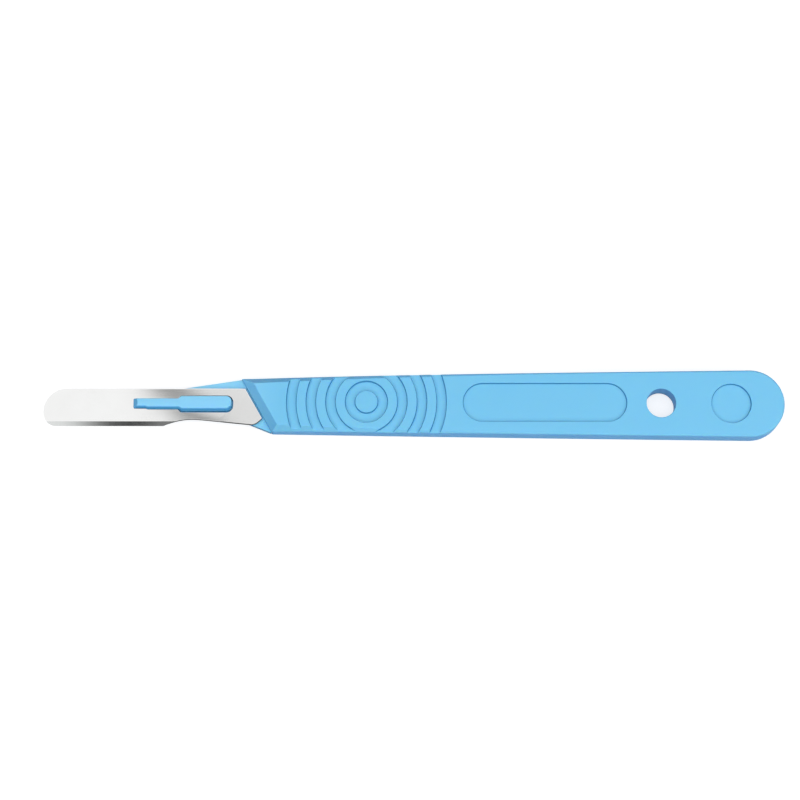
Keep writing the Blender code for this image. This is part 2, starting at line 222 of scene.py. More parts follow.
def rounded_corner(before: Point, corner: Point, after: Point, radius: float) -> Line:
    """Points on the arc that rounds the corner between two straight edges.

    Args:
        before: The outline's point before the corner.
        corner: The corner itself.
        after: The outline's point after the corner.
        radius: Radius of the rounding.

    Returns:
        The points in order.
    """
    back = (Vector(before) - Vector(corner)).normalized()
    on = (Vector(after) - Vector(corner)).normalized()
    half_angle = back.angle(on) / 2.0
    centre = Vector(corner) + (back + on).normalized() * radius / math.sin(half_angle)
    reach = radius / math.tan(half_angle)
    first = Vector(corner) + back * reach - centre
    last = Vector(corner) + on * reach - centre
    start = math.degrees(math.atan2(first.y, first.x))
    turn = (math.degrees(math.atan2(last.y, last.x)) - start + 180.0) % 360.0 - 180.0
    return arc((centre.x, centre.y), (radius, radius), start, start + turn, CORNER_STEPS)


def rounded_polygon(corners: Sequence[Triple]) -> Line:
    """A closed outline from corners that each have a rounding radius.

    Args:
        corners: X, Y and radius of each corner, where 0 keeps it sharp.

    Returns:
        The points in order, without a repeated end.
    """
    points: Line = []
    for index, corner in enumerate(corners):
        here = (corner[0], corner[1])
        if corner[2] > 0.0:
            before = corners[index - 1]
            after = corners[(index + 1) % len(corners)]
            points.extend(rounded_corner(before[:2], here, after[:2], corner[2]))
        else:
            points.append(here)
    return points


def moved_in(loop: Line, distance: float) -> Line:
    """A closed outline moved inwards, with its first point repeated at its end.

    Args:
        loop: The outline, anticlockwise seen from above.
        distance: How far each point moves towards the inside.

    Returns:
        The moved outline.
    """
    moved = []
    for index, (x, y) in enumerate(loop):
        before = loop[index - 1]
        after = loop[(index + 1) % len(loop)]
        back = Vector((x - before[0], y - before[1])).normalized()
        on = Vector((after[0] - x, after[1] - y)).normalized()
        inward = Vector((-(back.y + on.y), back.x + on.x))
        reach = distance / max(LEAST_TURN, inward.length / 2.0)
        inward.normalize()
        moved.append((x + inward.x * reach, y + inward.y * reach))
    return moved + moved[:1]


def anticlockwise(loop: Line) -> Line:
    """The same outline, turned round if it runs clockwise."""
    area = sum(a[0] * b[1] - b[0] * a[1] for a, b in zip(loop, loop[1:] + loop[:1]))
    return loop if area > 0.0 else loop[::-1]


def distance_to(lines: Sequence[Line], x: float, y: float) -> float:
    """Distance from a point to the nearest of some lines.

    Args:
        lines: The lines, each a list of points.
        x: The point's X.
        y: The point's Y.

    Returns:
        The shortest distance.
    """
    nearest = math.inf
    for line in lines:
        for (ax, ay), (bx, by) in zip(line, line[1:]):
            dx, dy = bx - ax, by - ay
            square = max(dx * dx + dy * dy, LEAST_SQUARE)
            along = max(0.0, min(1.0, ((x - ax) * dx + (y - ay) * dy) / square))
            nearest = min(nearest, math.hypot(x - ax - along * dx, y - ay - along * dy))
    return nearest


def inside(loop: Line, points: np.ndarray) -> np.ndarray:
    """Which points lie inside a closed outline.

    Args:
        loop: The outline.
        points: Rows of X and Y.

    Returns:
        One truth value for each row.
    """
    found = np.zeros(len(points), bool)
    x, y = points[:, 0], points[:, 1]
    for (ax, ay), (bx, by) in zip(loop, loop[1:] + loop[:1]):
        if ay == by:
            continue
        spans = (ay > y) != (by > y)
        found ^= spans & (x < (bx - ax) * (y - ay) / (by - ay) + ax)
    return found


def level(height: float) -> HeightRule:
    """A rule that gives the same height everywhere."""
    return lambda x, y, on_rim: height


def steepness(normal: Vector, flat: float) -> float:
    """How far a face is a wall.

    Args:
        normal: The direction it faces.
        flat: Height of that direction from which on it counts as flat.

    Returns:
        0 from that height on, and up to 1 for a face that is a quarter steeper.
    """
    return min(1.0, max(0.0, 4.0 * (flat - abs(normal.z))))


def new_object(name: str, data: bpy.types.ID) -> bpy.types.Object:
    """Make an object of some data and link it to the scene.

    Args:
        name: The object's name.
        data: Its mesh, light or camera.

    Returns:
        The object.
    """
    made = bpy.data.objects.new(name, data)
    bpy.context.scene.collection.objects.link(made)
    return made


def plain_copy(piece: bpy.types.Object) -> bpy.types.Object:
    """Bake a piece's modifiers into a plain mesh and take them off.

    Args:
        piece: The object with its modifiers.

    Returns:
        The same object, which now has no modifiers.
    """
    bpy.context.view_layer.update()
    evaluated = piece.evaluated_get(bpy.context.evaluated_depsgraph_get())
    mesh = bpy.data.meshes.new_from_object(evaluated)
    mesh.name = piece.name
    piece.modifiers.clear()
    piece.data = mesh
    return piece


def shade(piece: bpy.types.Object) -> bpy.types.Object:
    """Shade a piece smooth, but sharp at steep edges and where two finishes meet.

    Args:
        piece: The finished mesh object.

    Returns:
        The same object.
    """
    work = bmesh.new()
    work.from_mesh(piece.data)
    bmesh.ops.dissolve_limit(
        work, angle_limit=FLAT_ANGLE, verts=work.verts, edges=work.edges, delimit={"MATERIAL"})
    for face in work.faces:
        face.smooth = True
    for edge in work.edges:
        finishes = {face.material_index for face in edge.link_faces}
        edge.smooth = len(finishes) == 1 and edge.calc_face_angle(0.0) < SHARP_ANGLE
    work.to_mesh(piece.data)
    work.free()
    weighting = piece.modifiers.new("flats", "WEIGHTED_NORMAL")
    weighting.keep_sharp = True
    weighting.weight = FLAT_WEIGHT
    return plain_copy(piece)


def join_solids(target: bpy.types.Object, others: Sequence[bpy.types.Object]) -> bpy.types.Object:
    """Fuse solids into one closed mesh.

    Args:
        target: The solid that stays.
        others: The solids that are fused to it and then removed.

    Returns:
        The target.
    """
    for other in others:
        union = target.modifiers.new(other.name, "BOOLEAN")
        union.operation = "UNION"
        union.solver = "EXACT"
        union.object = other
    plain_copy(target)
    for other in others:
        bpy.data.objects.remove(other, do_unlink=True)
    return target


@dataclass
class PlanSolid:
    """A closed solid drawn from above, with one height rule for its top and one for its bottom.

    The outline comes first in outlines and its holes after it. Creases are the lines on which the
    faces bend. The wall's middle may stand out a little, as a moulding's does at its parting line.
    """

    name: str
    outlines: list[Line]
    creases: list[Line]
    top: HeightRule
    bottom: HeightRule
    belly: float = 0.0
    belly_height: float = 0.0

    def plan(self) -> tuple[np.ndarray, list[tuple[int, int, int]]]:
        """Divide the outline into triangles that follow every crease.

        Returns:
            Rows of X and Y, and the triangles inside the outline, anticlockwise.
        """
        points: list[Vector] = []
        edges: list[tuple[int, int]] = []
        for line in [loop + loop[:1] for loop in self.outlines] + self.creases:
            first = len(points)
            points.extend(Vector(point) for point in line)
            edges.extend((index, index + 1) for index in range(first, len(points) - 1))
        found = delaunay_2d_cdt(points, edges, [], 0, PLAN_TOLERANCE, False)
        places = np.array([tuple(point) for point in found[0]])
        faces = np.array([tuple(face) for face in found[2]])
        corners = places[faces]
        first_side = corners[:, 1] - corners[:, 0]
        last_side = corners[:, 2] - corners[:, 0]
        area = first_side[:, 0] * last_side[:, 1] - first_side[:, 1] * last_side[:, 0]
        faces[area < 0.0] = faces[area < 0.0][:, ::-1]
        middles = corners.mean(axis=1)
        kept = inside(self.outlines[0], middles)
        for hole in self.outlines[1:]:
            kept &= ~inside(hole, middles)
        return places, [tuple(int(index) for index in face) for face in faces[kept]]

    def rim(self, faces: list[tuple[int, int, int]]) -> list[tuple[int, int]]:
        """The edges that only one triangle uses, in that triangle's direction."""
        directed = {(face[k], face[(k + 1) % 3]) for face in faces for k in range(3)}
        return sorted(edge for edge in directed if (edge[1], edge[0]) not in directed)

    def outward(self, places: np.ndarray, rim: list[tuple[int, int]]) -> dict[int, Vector]:
        """The direction away from the solid at each point of its rim.

        Args:
            places: Rows of X and Y.
            rim: The directed edges of the rim.

        Returns:
            A unit vector for each point on the rim.
        """
        sums: dict[int, Vector] = {}
        for first, last in rim:
            along = Vector(places[last] - places[first]).normalized()
            for index in (first, last):
                sums[index] = sums.get(index, Vector((0.0, 0.0))) + Vector((along.y, -along.x))
        return {index: total.normalized() for index, total in sums.items()}

    def build(self) -> bpy.types.Object:
        """Make the solid's mesh object.

        Returns:
            The object, linked to the scene.
        """
        places, faces = self.plan()
        rim = self.rim(faces)
        away = self.outward(places, rim)
        used = sorted({index for face in faces for index in face})
        upper = {index: place for place, index in enumerate(used)}
        lower = {index: place + len(used) for place, index in enumerate(used)}
        verts = [(*places[index], rule(*places[index], index in away))
                 for rule in (self.top, self.bottom) for index in used]
        skin = [tuple(upper[index] for index in face) for face in faces]
        skin += [tuple(lower[index] for index in reversed(face)) for face in faces]
        if self.belly > 0.0:
            middle = {}
            for index, (out_x, out_y) in away.items():
                middle[index] = len(verts)
                x, y = places[index]
                verts.append((x + out_x * self.belly, y + out_y * self.belly, self.belly_height))
            for a, b in rim:
                skin.append((lower[a], lower[b], middle[b], middle[a]))
                skin.append((middle[a], middle[b], upper[b], upper[a]))
        else:
            skin += [(lower[a], lower[b], upper[b], upper[a]) for a, b in rim]
        mesh = bpy.data.meshes.new(self.name)
        mesh.from_pydata([(x * MM, y * MM, z * MM) for x, y, z in verts], [], skin)
        mesh.validate()
        return new_object(self.name, mesh)


class Graph:
    """A node tree that is being wired, with short calls for its nodes."""

    def __init__(self, tree: bpy.types.NodeTree) -> None:
        """Start on a tree."""
        self.tree = tree

    def feed(self, node: bpy.types.Node, inputs: Inputs) -> None:
        """Link outputs to a node's sockets, or set the sockets' own values.

        Args:
            node: The node.
            inputs: An output or a value for each socket, by its name or number.
        """
        for key, value in inputs.items():
            if isinstance(value, Socket):
                self.tree.links.new(value, node.inputs[key])
            else:
                node.inputs[key].default_value = value

    def node(self, kind: str, inputs: Inputs | None = None, **settings: object) -> bpy.types.Node:
        """Add a node.

        Args:
            kind: Blender's name for the kind of node.
            inputs: What goes into its sockets.
            **settings: Properties to set on it first.

        Returns:
            The node.
        """
        made = self.tree.nodes.new(kind)
        for name, value in settings.items():
            setattr(made, name, value)
        self.feed(made, inputs or {})
        return made

    def math(self, operation: str, *values: Value) -> Socket:
        """Add a Math node.

        Args:
            operation: What it computes.
            *values: Its inputs, in order.

        Returns:
            Its output.
        """
        return self.node("ShaderNodeMath", dict(enumerate(values)), operation=operation).outputs[0]

    def noise(self, place: Socket, scale: float, detail: float, stretch: Triple = EVEN) -> Socket:
        """A noise pattern on stretched coordinates.

        Args:
            place: The coordinates to read.
            scale: Fineness of the pattern, in waves per metre.
            detail: How many finer layers it has.
            stretch: Factors along X, Y and Z.

        Returns:
            The noise from 0 to 1.
        """
        stretched = self.node("ShaderNodeMapping", {"Vector": place, "Scale": stretch}).outputs["Vector"]
        made = self.node("ShaderNodeTexNoise", {"Vector": stretched, "Scale": scale, "Detail": detail})
        return made.outputs["Fac"]

    def ranged(self, value: Value, low: float, high: float, start: float = 0.3, end: float = 0.7) -> Socket:
        """Spread a value over a new range, by default the middle part of a noise.

        Args:
            value: The value.
            low: What it becomes at the start.
            high: What it becomes at the end.
            start: The value at which the range starts.
            end: The value at which it ends.

        Returns:
            The new value.
        """
        made = self.node("ShaderNodeMapRange", {
            "Value": value, "From Min": start, "From Max": end, "To Min": low, "To Max": high})
        return made.outputs["Result"]

    def blend(self, share: Value, first: Value, last: Value) -> Socket:
        """Mix two colours.

        Args:
            share: 0 for the first and 1 for the last.
            first: The first colour.
            last: The last colour.

        Returns:
            The mixed colour.
        """
        inputs = {"Factor": share, MIX_FIRST: first, MIX_LAST: last}
        return self.node("ShaderNodeMix", inputs, data_type="RGBA").outputs[MIX_RESULT]

    def bump(self, height: Value, strength: float, depth: float, below: Socket | None = None) -> Socket:
        """A bump from a height pattern.

        Args:
            height: The pattern.
            strength: Share of the bump, from 0 to 1.
            depth: Height of the pattern in metres.
            below: A bump that this one lies on.

        Returns:
            The bent normal.
        """
        inputs: Inputs = {"Height": height, "Strength": strength, "Distance": depth}
        if below is not None:
            inputs["Normal"] = below
        return self.node("ShaderNodeBump", inputs).outputs["Normal"]

    def attribute(self, name: str) -> Socket:
        """A number that the piece's mesh carries under a name."""
        return self.node("ShaderNodeAttribute", attribute_name=name).outputs["Fac"]

    def finish(self, shader: bpy.types.Node) -> None:
        """Make a shader the surface of the material."""
        self.feed(self.tree.nodes["Material Output"], {"Surface": shader.outputs[0]})


def new_shader(name: str) -> tuple[bpy.types.Material, Graph, bpy.types.Node]:
    """Start a material.

    Args:
        name: The material's name.

    Returns:
        The material, its graph and its Principled shader.
    """
    material = bpy.data.materials.new(name)
    material.use_nodes = True
    return material, Graph(material.node_tree), material.node_tree.nodes["Principled BSDF"]


@dataclass(frozen=True)
class MouldedPlastic:
    """Satin light blue plastic with faint flow marks and a fine spark-eroded grain.

    The pairs flow, wave, grain and patch are a noise's waves per metre and its finer layers.
    """

    colour: Rgba = (0.192, 0.556, 0.775, 1.0)
    flow_colour: Rgba = (0.204, 0.574, 0.798, 1.0)
    # Painted shade: the side and recess colours darken the moulding's walls in place of their shade.
    side_shade_colour: Rgba = (0.150, 0.530, 0.950, 1.0)
    recess_shade_colour: Rgba = (0.035, 0.215, 0.400, 1.0)
    # Painted light: the neck and boss ahead of the shoulder are coloured lighter where they lie in shade.
    neck_light_colour: Rgba = (0.270, 0.642, 0.855, 1.0)
    neck_light_x: Point = (-27.0, -38.0)
    flow: Point = (55.0, 3.0)
    flow_stretch: Triple = (0.35, 1.0, 1.0)
    wave: Point = (260.0, 1.0)
    wave_stretch: Triple = (0.5, 1.0, 1.0)
    wave_strength: float = 0.25
    wave_depth: float = 0.02 * MM
    grain: Point = (5200.0, 2.0)
    grain_strength: float = 0.3
    grain_depth: float = 0.006 * MM
    patch: Point = (420.0, 4.0)
    roughness: Point = (0.49, 0.56)
    gloss: float = 0.16
    refraction: float = 1.49
    depth_weight: float = 0.25
    depth_radius: Triple = (0.15, 0.35, 1.0)
    depth_scale: float = 1.0 * MM

    def material(self) -> bpy.types.Material:
        """Build the material.

        Returns:
            The finished material.
        """
        made, graph, shader = new_shader("moulded_blue_plastic")
        place = graph.node("ShaderNodeTexCoord").outputs["Object"]
        flow = graph.ranged(graph.noise(place, *self.flow, self.flow_stretch), 0.0, 1.0)
        along = graph.node("ShaderNodeSeparateXYZ", {0: place}).outputs["X"]
        # The neck and boss are painted lighter towards the blade: painted light.
        neck_light = graph.ranged(along, 0.0, 1.0, self.neck_light_x[0] * MM, self.neck_light_x[1] * MM)
        colour = graph.blend(flow, self.colour, self.flow_colour)
        # The walls take the side and recess colours by their stored shares: painted shade.
        for share, tone in (
                (neck_light, self.neck_light_colour),
                (graph.attribute("side_wall_shade"), self.side_shade_colour),
                (graph.attribute("recess_wall_shade"), self.recess_shade_colour)):
            colour = graph.blend(share, colour, tone)
        waves = graph.noise(place, *self.wave, self.wave_stretch)
        waves = graph.bump(waves, self.wave_strength, self.wave_depth)
        grain = graph.noise(place, *self.grain)
        graph.feed(shader, {
            "Base Color": colour,
            "Roughness": graph.ranged(graph.noise(place, *self.patch), *self.roughness),
            "Normal": graph.bump(grain, self.grain_strength, self.grain_depth, waves),
            "IOR": self.refraction,
            "Specular IOR Level": self.gloss,
            "Subsurface Weight": self.depth_weight,
            "Subsurface Radius": self.depth_radius,
            "Subsurface Scale": self.depth_scale,
        })
        return made


@dataclass(frozen=True)
class PolishedSteel:
    """Rolled and polished blade steel with fine lines along its length.

    The pairs cloud and lines are a noise's waves per metre and its finer layers.
    """

    name: str = "polished_blade_steel"
    colour: Rgba = (0.87, 0.87, 0.865, 1.0)
    worn_colour: Rgba = (0.90, 0.905, 0.90, 1.0)
    roughness: Point = (0.04, 0.07)
    cloud: Point = (150.0, 3.0)
    lines: Point = (9000.0, 2.0)
    line_stretch: Triple = (0.02, 1.0, 1.0)
    line_strength: float = 0.25
    line_depth: float = 0.0004 * MM

    def material(self) -> bpy.types.Material:
        """Build the material.

        Returns:
            The finished material.
        """
        made, graph, shader = new_shader(self.name)
        place = graph.node("ShaderNodeTexCoord").outputs["Object"]
        cloud = graph.ranged(graph.noise(place, *self.cloud), 0.0, 1.0)
        lines = graph.noise(place, *self.lines, self.line_stretch)
        graph.feed(shader, {
            "Base Color": graph.blend(cloud, self.colour, self.worn_colour),
            "Roughness": graph.ranged(lines, *self.roughness),
            "Normal": graph.bump(lines, self.line_strength, self.line_depth),
            "Metallic": 1.0,
        })
        return made


# The sheared edges' steel is rough and also painted near black: painted shade and dark reflection along the
# blade's lower edge.
SHEARED_STEEL_PAINTED_SHADE = PolishedSteel(
    name="sheared_edge_painted_shade",
    colour=(0.02, 0.021, 0.022, 1.0),
    worn_colour=(0.03, 0.031, 0.032, 1.0),
    roughness=(0.36, 0.48),
    line_stretch=(1.0, 1.0, 0.05),
    line_depth=0.004 * MM,
)
GROUND_STEEL = PolishedSteel(
    name="ground_steel_edge",
    colour=(0.70, 0.715, 0.71, 1.0),
    worn_colour=(0.75, 0.765, 0.76, 1.0),
    roughness=(0.045, 0.075),
    line_stretch=(1.0, 0.04, 0.3),
    line_depth=0.0003 * MM,
)


@dataclass
class GripRings:
    """The round steps of the finger grip: every second band about one centre is sunk."""

    centre_x: float = -9.5
    centre_y: float = 0.33
    first_radius: float = 2.31
    pitch: float = 1.98
    grooves: int = 4
    front_depth: float = 0.7
    back_depth: float = 0.2
    wall_run: float = 0.15
    floor_softness: float = 0.05
    rim_softness: float = 0.08
    spacing: float = 0.3
    overhang: float = 0.6

    def edges(self) -> list[float]:
        """Radius of every band's edge, from the middle outwards."""
        return [self.first_radius + self.pitch * index for index in range(2 * self.grooves)]

    def creases(self, reach: Callable[[float, float], float]) -> list[Line]:
        """Circles on which the bands' walls start, bend and end.

        Args:
            reach: Distance in from the handle's outline, which ends the circles outside it.

        Returns:
            The arcs that lie on the handle.
        """
        half = self.wall_run / 2.0
        foot = self.floor_softness
        rim = self.rim_softness * self.wall_run / self.front_depth
        offsets = [-half + share * foot for share in BEND_SHARES[:-1]] + [0.0]
        offsets += [half + share * rim for share in BEND_SHARES]
        lines = []
        for index, edge in enumerate(self.edges()):
            outward = 1.0 if index % 2 else -1.0
            for offset in offsets:
                ring = circle((self.centre_x, self.centre_y), edge + outward * offset, self.spacing)
                lines.extend(self.clipped(ring, reach))
        return lines

    def clipped(self, ring: Line, reach: Callable[[float, float], float]) -> list[Line]:
        """Keep the parts of a ring that lie on the handle or just past its outline.

        Args:
            ring: The points of the ring.
            reach: Distance in from the handle's outline.

        Returns:
            The parts that are left.
        """
        parts: list[Line] = [[]]
        for point in ring:
            if reach(*point) > -self.overhang:
                parts[-1].append(point)
            elif parts[-1]:
                parts.append([])
        return [part for part in parts if len(part) > 1]

    def tree(self) -> bpy.types.NodeTree:
        """Build the node tree that sinks the bands into one face.

        Returns:
            The Geometry Nodes tree with named inputs.
        """
        tree = bpy.data.node_groups.new("sunk_grip_bands", "GeometryNodeTree")
        tree.interface.new_socket("Geometry", in_out="INPUT", socket_type="NodeSocketGeometry")
        for name in ("Centre X", "Centre Y", "First Radius", "Pitch", "Last Step", "Depth", "Wall Run",
                     "Floor Softness", "Rim Softness", "Face Height", "Facing"):
            tree.interface.new_socket(name, in_out="INPUT", socket_type="NodeSocketFloat")
        tree.interface.new_socket("Material", in_out="INPUT", socket_type="NodeSocketMaterial")
        tree.interface.new_socket("Geometry", in_out="OUTPUT", socket_type="NodeSocketGeometry")
        graph = Graph(tree)
        given = graph.node("NodeGroupInput").outputs
        position = graph.node("GeometryNodeInputPosition").outputs[0]
        x, y, z = graph.node("ShaderNodeSeparateXYZ", {0: position}).outputs
        along = graph.math("SUBTRACT", x, given["Centre X"])
        across = graph.math("SUBTRACT", y, given["Centre Y"])
        squares = [graph.math("MULTIPLY", value, value) for value in (along, across)]
        radius = graph.math("SQRT", graph.math("ADD", *squares))
        step = graph.math("DIVIDE", graph.math("SUBTRACT", radius, given["First Radius"]), given["Pitch"])
        phase = graph.math("FLOORED_MODULO", step, 2.0)
        from_middle = graph.math("ABSOLUTE", graph.math("SUBTRACT", phase, 0.5))
        from_band = graph.math("SUBTRACT", from_middle, 0.5)
        outside = graph.math("MINIMUM", from_band, graph.math("SUBTRACT", 2.0, phase))
        outside = graph.math("MAXIMUM", outside, graph.math("MULTIPLY", step, -1.0))
        outside = graph.math("MAXIMUM", outside, graph.math("SUBTRACT", step, given["Last Step"]))
        distance = graph.math("MULTIPLY", outside, given["Pitch"])
        climb = graph.math("ADD", distance, graph.math("DIVIDE", given["Wall Run"], 2.0))
        climb = graph.math("SMOOTH_MAX", climb, 0.0, given["Floor Softness"])
        wall = graph.math("MULTIPLY", climb, graph.math("DIVIDE", given["Depth"], given["Wall Run"]))
        face = graph.math("MULTIPLY", given["Face Height"], given["Facing"])
        floor = graph.math("ADD", graph.math("SUBTRACT", face, given["Depth"]), wall)
        height = graph.math("MULTIPLY", z, given["Facing"])
        sunk = graph.math("SMOOTH_MIN", height, floor, given["Rim Softness"])
        sunk = graph.math("MULTIPLY", sunk, given["Facing"])
        placed = graph.node("ShaderNodeCombineXYZ", {"X": x, "Y": y, "Z": sunk})
        made = {"Geometry": given["Geometry"]}
        for kind, inputs in (
                ("GeometryNodeSetPosition", {"Position": placed.outputs[0]}),
                ("GeometryNodeRealizeInstances", {}),
                ("GeometryNodeSetMaterial", {"Material": given["Material"]})):
            made = {"Geometry": graph.node(kind, made | inputs).outputs["Geometry"]}
        graph.node("NodeGroupOutput", made)
        return tree

    def sink(self, piece: bpy.types.Object, thickness: float, material: bpy.types.Material) -> None:
        """Sink the bands into both faces of a piece, which stays a plain mesh.

        Args:
            piece: The moulding without its bands.
            thickness: Height of its front face above its back.
            material: The finish that the tree sets.
        """
        tree = self.tree()
        given = [item for item in tree.interface.items_tree if item.in_out == "INPUT"]
        sockets = {item.name: item.identifier for item in given}
        for facing, depth in ((Facing.FRONT, self.front_depth), (Facing.BACK, self.back_depth)):
            values = {
                "Centre X": self.centre_x * MM,
                "Centre Y": self.centre_y * MM,
                "First Radius": self.first_radius * MM,
                "Pitch": self.pitch * MM,
                "Last Step": 2.0 * self.grooves - 1.0,
                "Depth": depth * MM,
                "Wall Run": self.wall_run * MM,
                "Floor Softness": self.floor_softness * MM,
                "Rim Softness": self.rim_softness * depth / self.front_depth * MM,
                "Face Height": (thickness if facing is Facing.FRONT else 0.0) * MM,
                "Facing": facing.value,
                "Material": material,
            }
            modifier = piece.modifiers.new("bands_" + facing.name.lower(), "NODES")
            modifier.node_group = tree
            for name, value in values.items():
                modifier[sockets[name]] = value
        plain_copy(piece)


@dataclass
class Boss:
    """The key-shaped lug on the neck: a stem through the blade's slot under a head with lips."""

    y: float = 0.2
    rear_x: float = -36.85
    front_x: float = -56.7
    step_x: float = -47.0
    flare: float = 0.6
    wide: float = 3.1
    low_trim: float = 0.1
    lip_width: float = 2.1
    stem_width: float = 1.2
    rear_corner: float = 1.1
    front_corner: float = 0.2
    edge_radius: float = 0.15
    foot_z: float = 1.4
    lip_z: float = 2.9
    stem_top_z: float = 3.1
    top_z: float = 3.7
    nose_run: float = 0.9
    nose_drop: float = 0.5
    flank_run: float = 0.5
    flank_drop: float = 0.55
    flank_softness: float = 0.25
    flank_bend: float = 0.22
    flank_fade: float = 1.0
    fade_softness: float = 0.3
    fade_steps: int = 10
    nose_softness: float = 0.06
    nose_bend: float = 0.12
    crease_reach: float = 2.0
    bend_corner: float = 0.3
    snout_length: float = 2.4
    snout_ramp: float = 0.5
    snout_relief: float = 0.18
    fit_gap: float = 0.15
    slot_rear_gap: float = 0.2

    def key(self, widths: Point, grow: float, front: float, rear: float, relief: float = 0.0) -> Line:
        """The key shape that the boss and the blade's slot share.

        Args:
            widths: Width of the rear part and of the front part.
            grow: How far the step moves forward.
            front: How far the front end moves back.
            rear: How far the rear end moves back.
            relief: How much narrower its snout is on the lower side.

        Returns:
            The outline, anticlockwise.
        """
        wide, narrow = widths
        step = self.step_x - grow
        front_x = self.front_x + front
        rear_x = self.rear_x + rear
        corner = self.rear_corner + max(0.0, grow)
        bend = self.bend_corner
        low, high = self.y - narrow / 2.0, self.y + narrow / 2.0
        wide_low, wide_high = self.y - wide / 2.0 + self.low_trim, self.y + wide / 2.0
        snout = [(front_x, low + relief, self.front_corner)]
        if relief > 0.0:
            snout += [
                (front_x + self.snout_length, low + relief, bend),
                (front_x + self.snout_length + self.snout_ramp, low, bend),
            ]
        return anticlockwise(rounded_polygon([
            *snout,
            (step - self.flare, low, bend), (step, wide_low, bend),
            (rear_x, wide_low, corner), (rear_x, wide_high, corner),
            (step, wide_high, bend), (step - self.flare, high, bend),
            (front_x, high, self.front_corner),
        ]))

    def nose_height(self, x: float) -> float:
        """Height of the sloping nose at a place along the boss."""
        return self.top_z + (x - self.front_x - self.nose_run) * self.nose_drop / self.nose_run

    def slot(self) -> Line:
        """The outline of the blade's slot, which clears the stem all round.

        Returns:
            The points in order, anticlockwise.
        """
        gap = self.fit_gap
        widths = (self.wide + 2.0 * gap, self.stem_width + 2.0 * gap)
        return self.key(widths, gap, gap, self.slot_rear_gap)

    def build(self) -> list[bpy.types.Object]:
        """Make the stem and the head.

        Returns:
            The two solids, which are fused to the moulding.
        """
        stem = self.key((self.wide, self.stem_width), 0.0, 2.0 * self.fit_gap, 0.0)
        head = self.key((self.wide, self.lip_width), 0.0, 0.0, 0.0, self.snout_relief)
        rim = [head + head[:1]]

        def head_top(x: float, y: float, on_rim: bool) -> float:
            """Height of the head's upper face.

            Args:
                x: Place along the boss.
                y: Place across it.
                on_rim: Whether the place is on the head's outline.

            Returns:
                The height above the handle's back.
            """
            edge = 0.0 if on_rim else distance_to(rim, x, y)
            share = (self.y + self.flank_fade - y) / (2.0 * self.flank_fade)
            share = smooth_max(0.0, smooth_min(1.0, share, self.fade_softness), self.fade_softness)
            low = self.top_z + share * self.flank_drop * (edge / self.flank_run - 1.0)
            face = smooth_min(self.top_z, low, self.flank_softness)
            face = smooth_min(face, self.nose_height(x), self.nose_softness)
            return face - rim_drop(edge, self.edge_radius)

        bend = self.front_x + self.nose_run
        reach = self.crease_reach
        creases = [moved_in(head, step) for step in rim_steps(self.edge_radius)]
        creases += [moved_in(head, self.flank_run + share * self.flank_bend) for share in BEND_SHARES]
        fades = [
            self.y + self.flank_fade * (1.0 - 2.0 * step / self.fade_steps)
            for step in range(self.fade_steps + 1)]
        creases += [[(self.rear_x - reach, y), (self.rear_x, y)] for y in fades]
        bends = [bend + share * self.nose_bend for share in BEND_SHARES]
        creases += [[(x, self.y - reach), (x, self.y + reach)] for x in bends]
        solids = (
            PlanSolid("boss_stem", [stem], [], level(self.stem_top_z), level(self.foot_z)),
            PlanSolid("boss_head", [head], creases, head_top, level(self.lip_z)),
        )
        return [solid.build() for solid in solids]


@dataclass
class RecessedFields:
    """The long field and the round one, which are sunk into the handle's front face."""

    depth: float = 0.55
    wall_run: float = 0.14
    long_front_x: float = 10.02
    long_rear_x: float = 43.1
    long_y: float = 0.2
    long_half_width: float = 3.95
    round_x: float = 64.2
    round_radius: float = 4.0
    spacing: float = 0.3
    end_steps: int = 40

    @property
    def end_centres(self) -> Point:
        """X of the middle of the long field's front end, and of its rear end."""
        return self.long_front_x + self.long_half_width, self.long_rear_x - self.long_half_width

    def rise(self, x: float, y: float) -> float:
        """Height that a field allows: 0 inside it, and then up its steep wall.

        Args:
            x: Place along the handle.
            y: Place across it.

        Returns:
            The height above the fields' floor.
        """
        front, rear = self.end_centres
        along = max(front, min(rear, x))
        from_long = math.hypot(x - along, y - self.long_y) - self.long_half_width
        from_round = math.hypot(x - self.round_x, y) - self.round_radius
        return max(0.0, min(from_long, from_round) + self.wall_run / 2.0) * self.depth / self.wall_run

    def long_outline(self, offset: float) -> Line:
        """The long field's outline moved outwards, with its first point repeated at its end.

        Args:
            offset: How far it is moved.

        Returns:
            The points in order.
        """
        radius = self.long_half_width + offset
        front, rear = self.end_centres
        half = arc((rear, self.long_y), (radius, radius), -90.0, 90.0, self.end_steps)
        return half + arc((front, self.long_y), (radius, radius), 90.0, 270.0, self.end_steps) + half[:1]

    def creases(self, softness: float) -> list[Line]:
        """Outlines on which the fields' walls start, bend and end.

        Args:
            softness: Height over which the rims are rounded.

        Returns:
            The closed outlines.
        """
        half = self.wall_run / 2.0
        rim = softness * self.wall_run / self.depth
        lines = []
        for offset in (-half, -half / 2.0, 0.0, *(half + share * rim for share in BEND_SHARES)):
            lines.append(self.long_outline(offset))
            lines.append(circle((self.round_x, 0.0), self.round_radius + offset, self.spacing))
        return lines


@dataclass(frozen=True)
class PaintedWallShade:
    """How far the moulding's walls take on painted shade: darker colours that stand in for their shade.

    A single tone is the share of the recess colour, and a pair the least shares of the side
    colour and the recess colour. A flat is the height of a face's direction from which on it
    is no wall, and a turn is how far a face of that form has to point its way.
    """

    boss: float = 0.8
    neck: float = 0.8
    shoulder: float = 0.6
    hole: float = 0.5
    band: float = 0.85
    bevel: Point = (0.22, 0.26)
    chamfer: Point = (0.3, 0.1)
    nose: Point = (0.0, 0.6)
    wall_flat: float = 0.5
    flank_flat: float = 0.95
    flank_turn: float = 0.2
    bevel_turn: float = 0.4
    chamfer_turn: float = 0.3
    nose_turn: float = 0.2


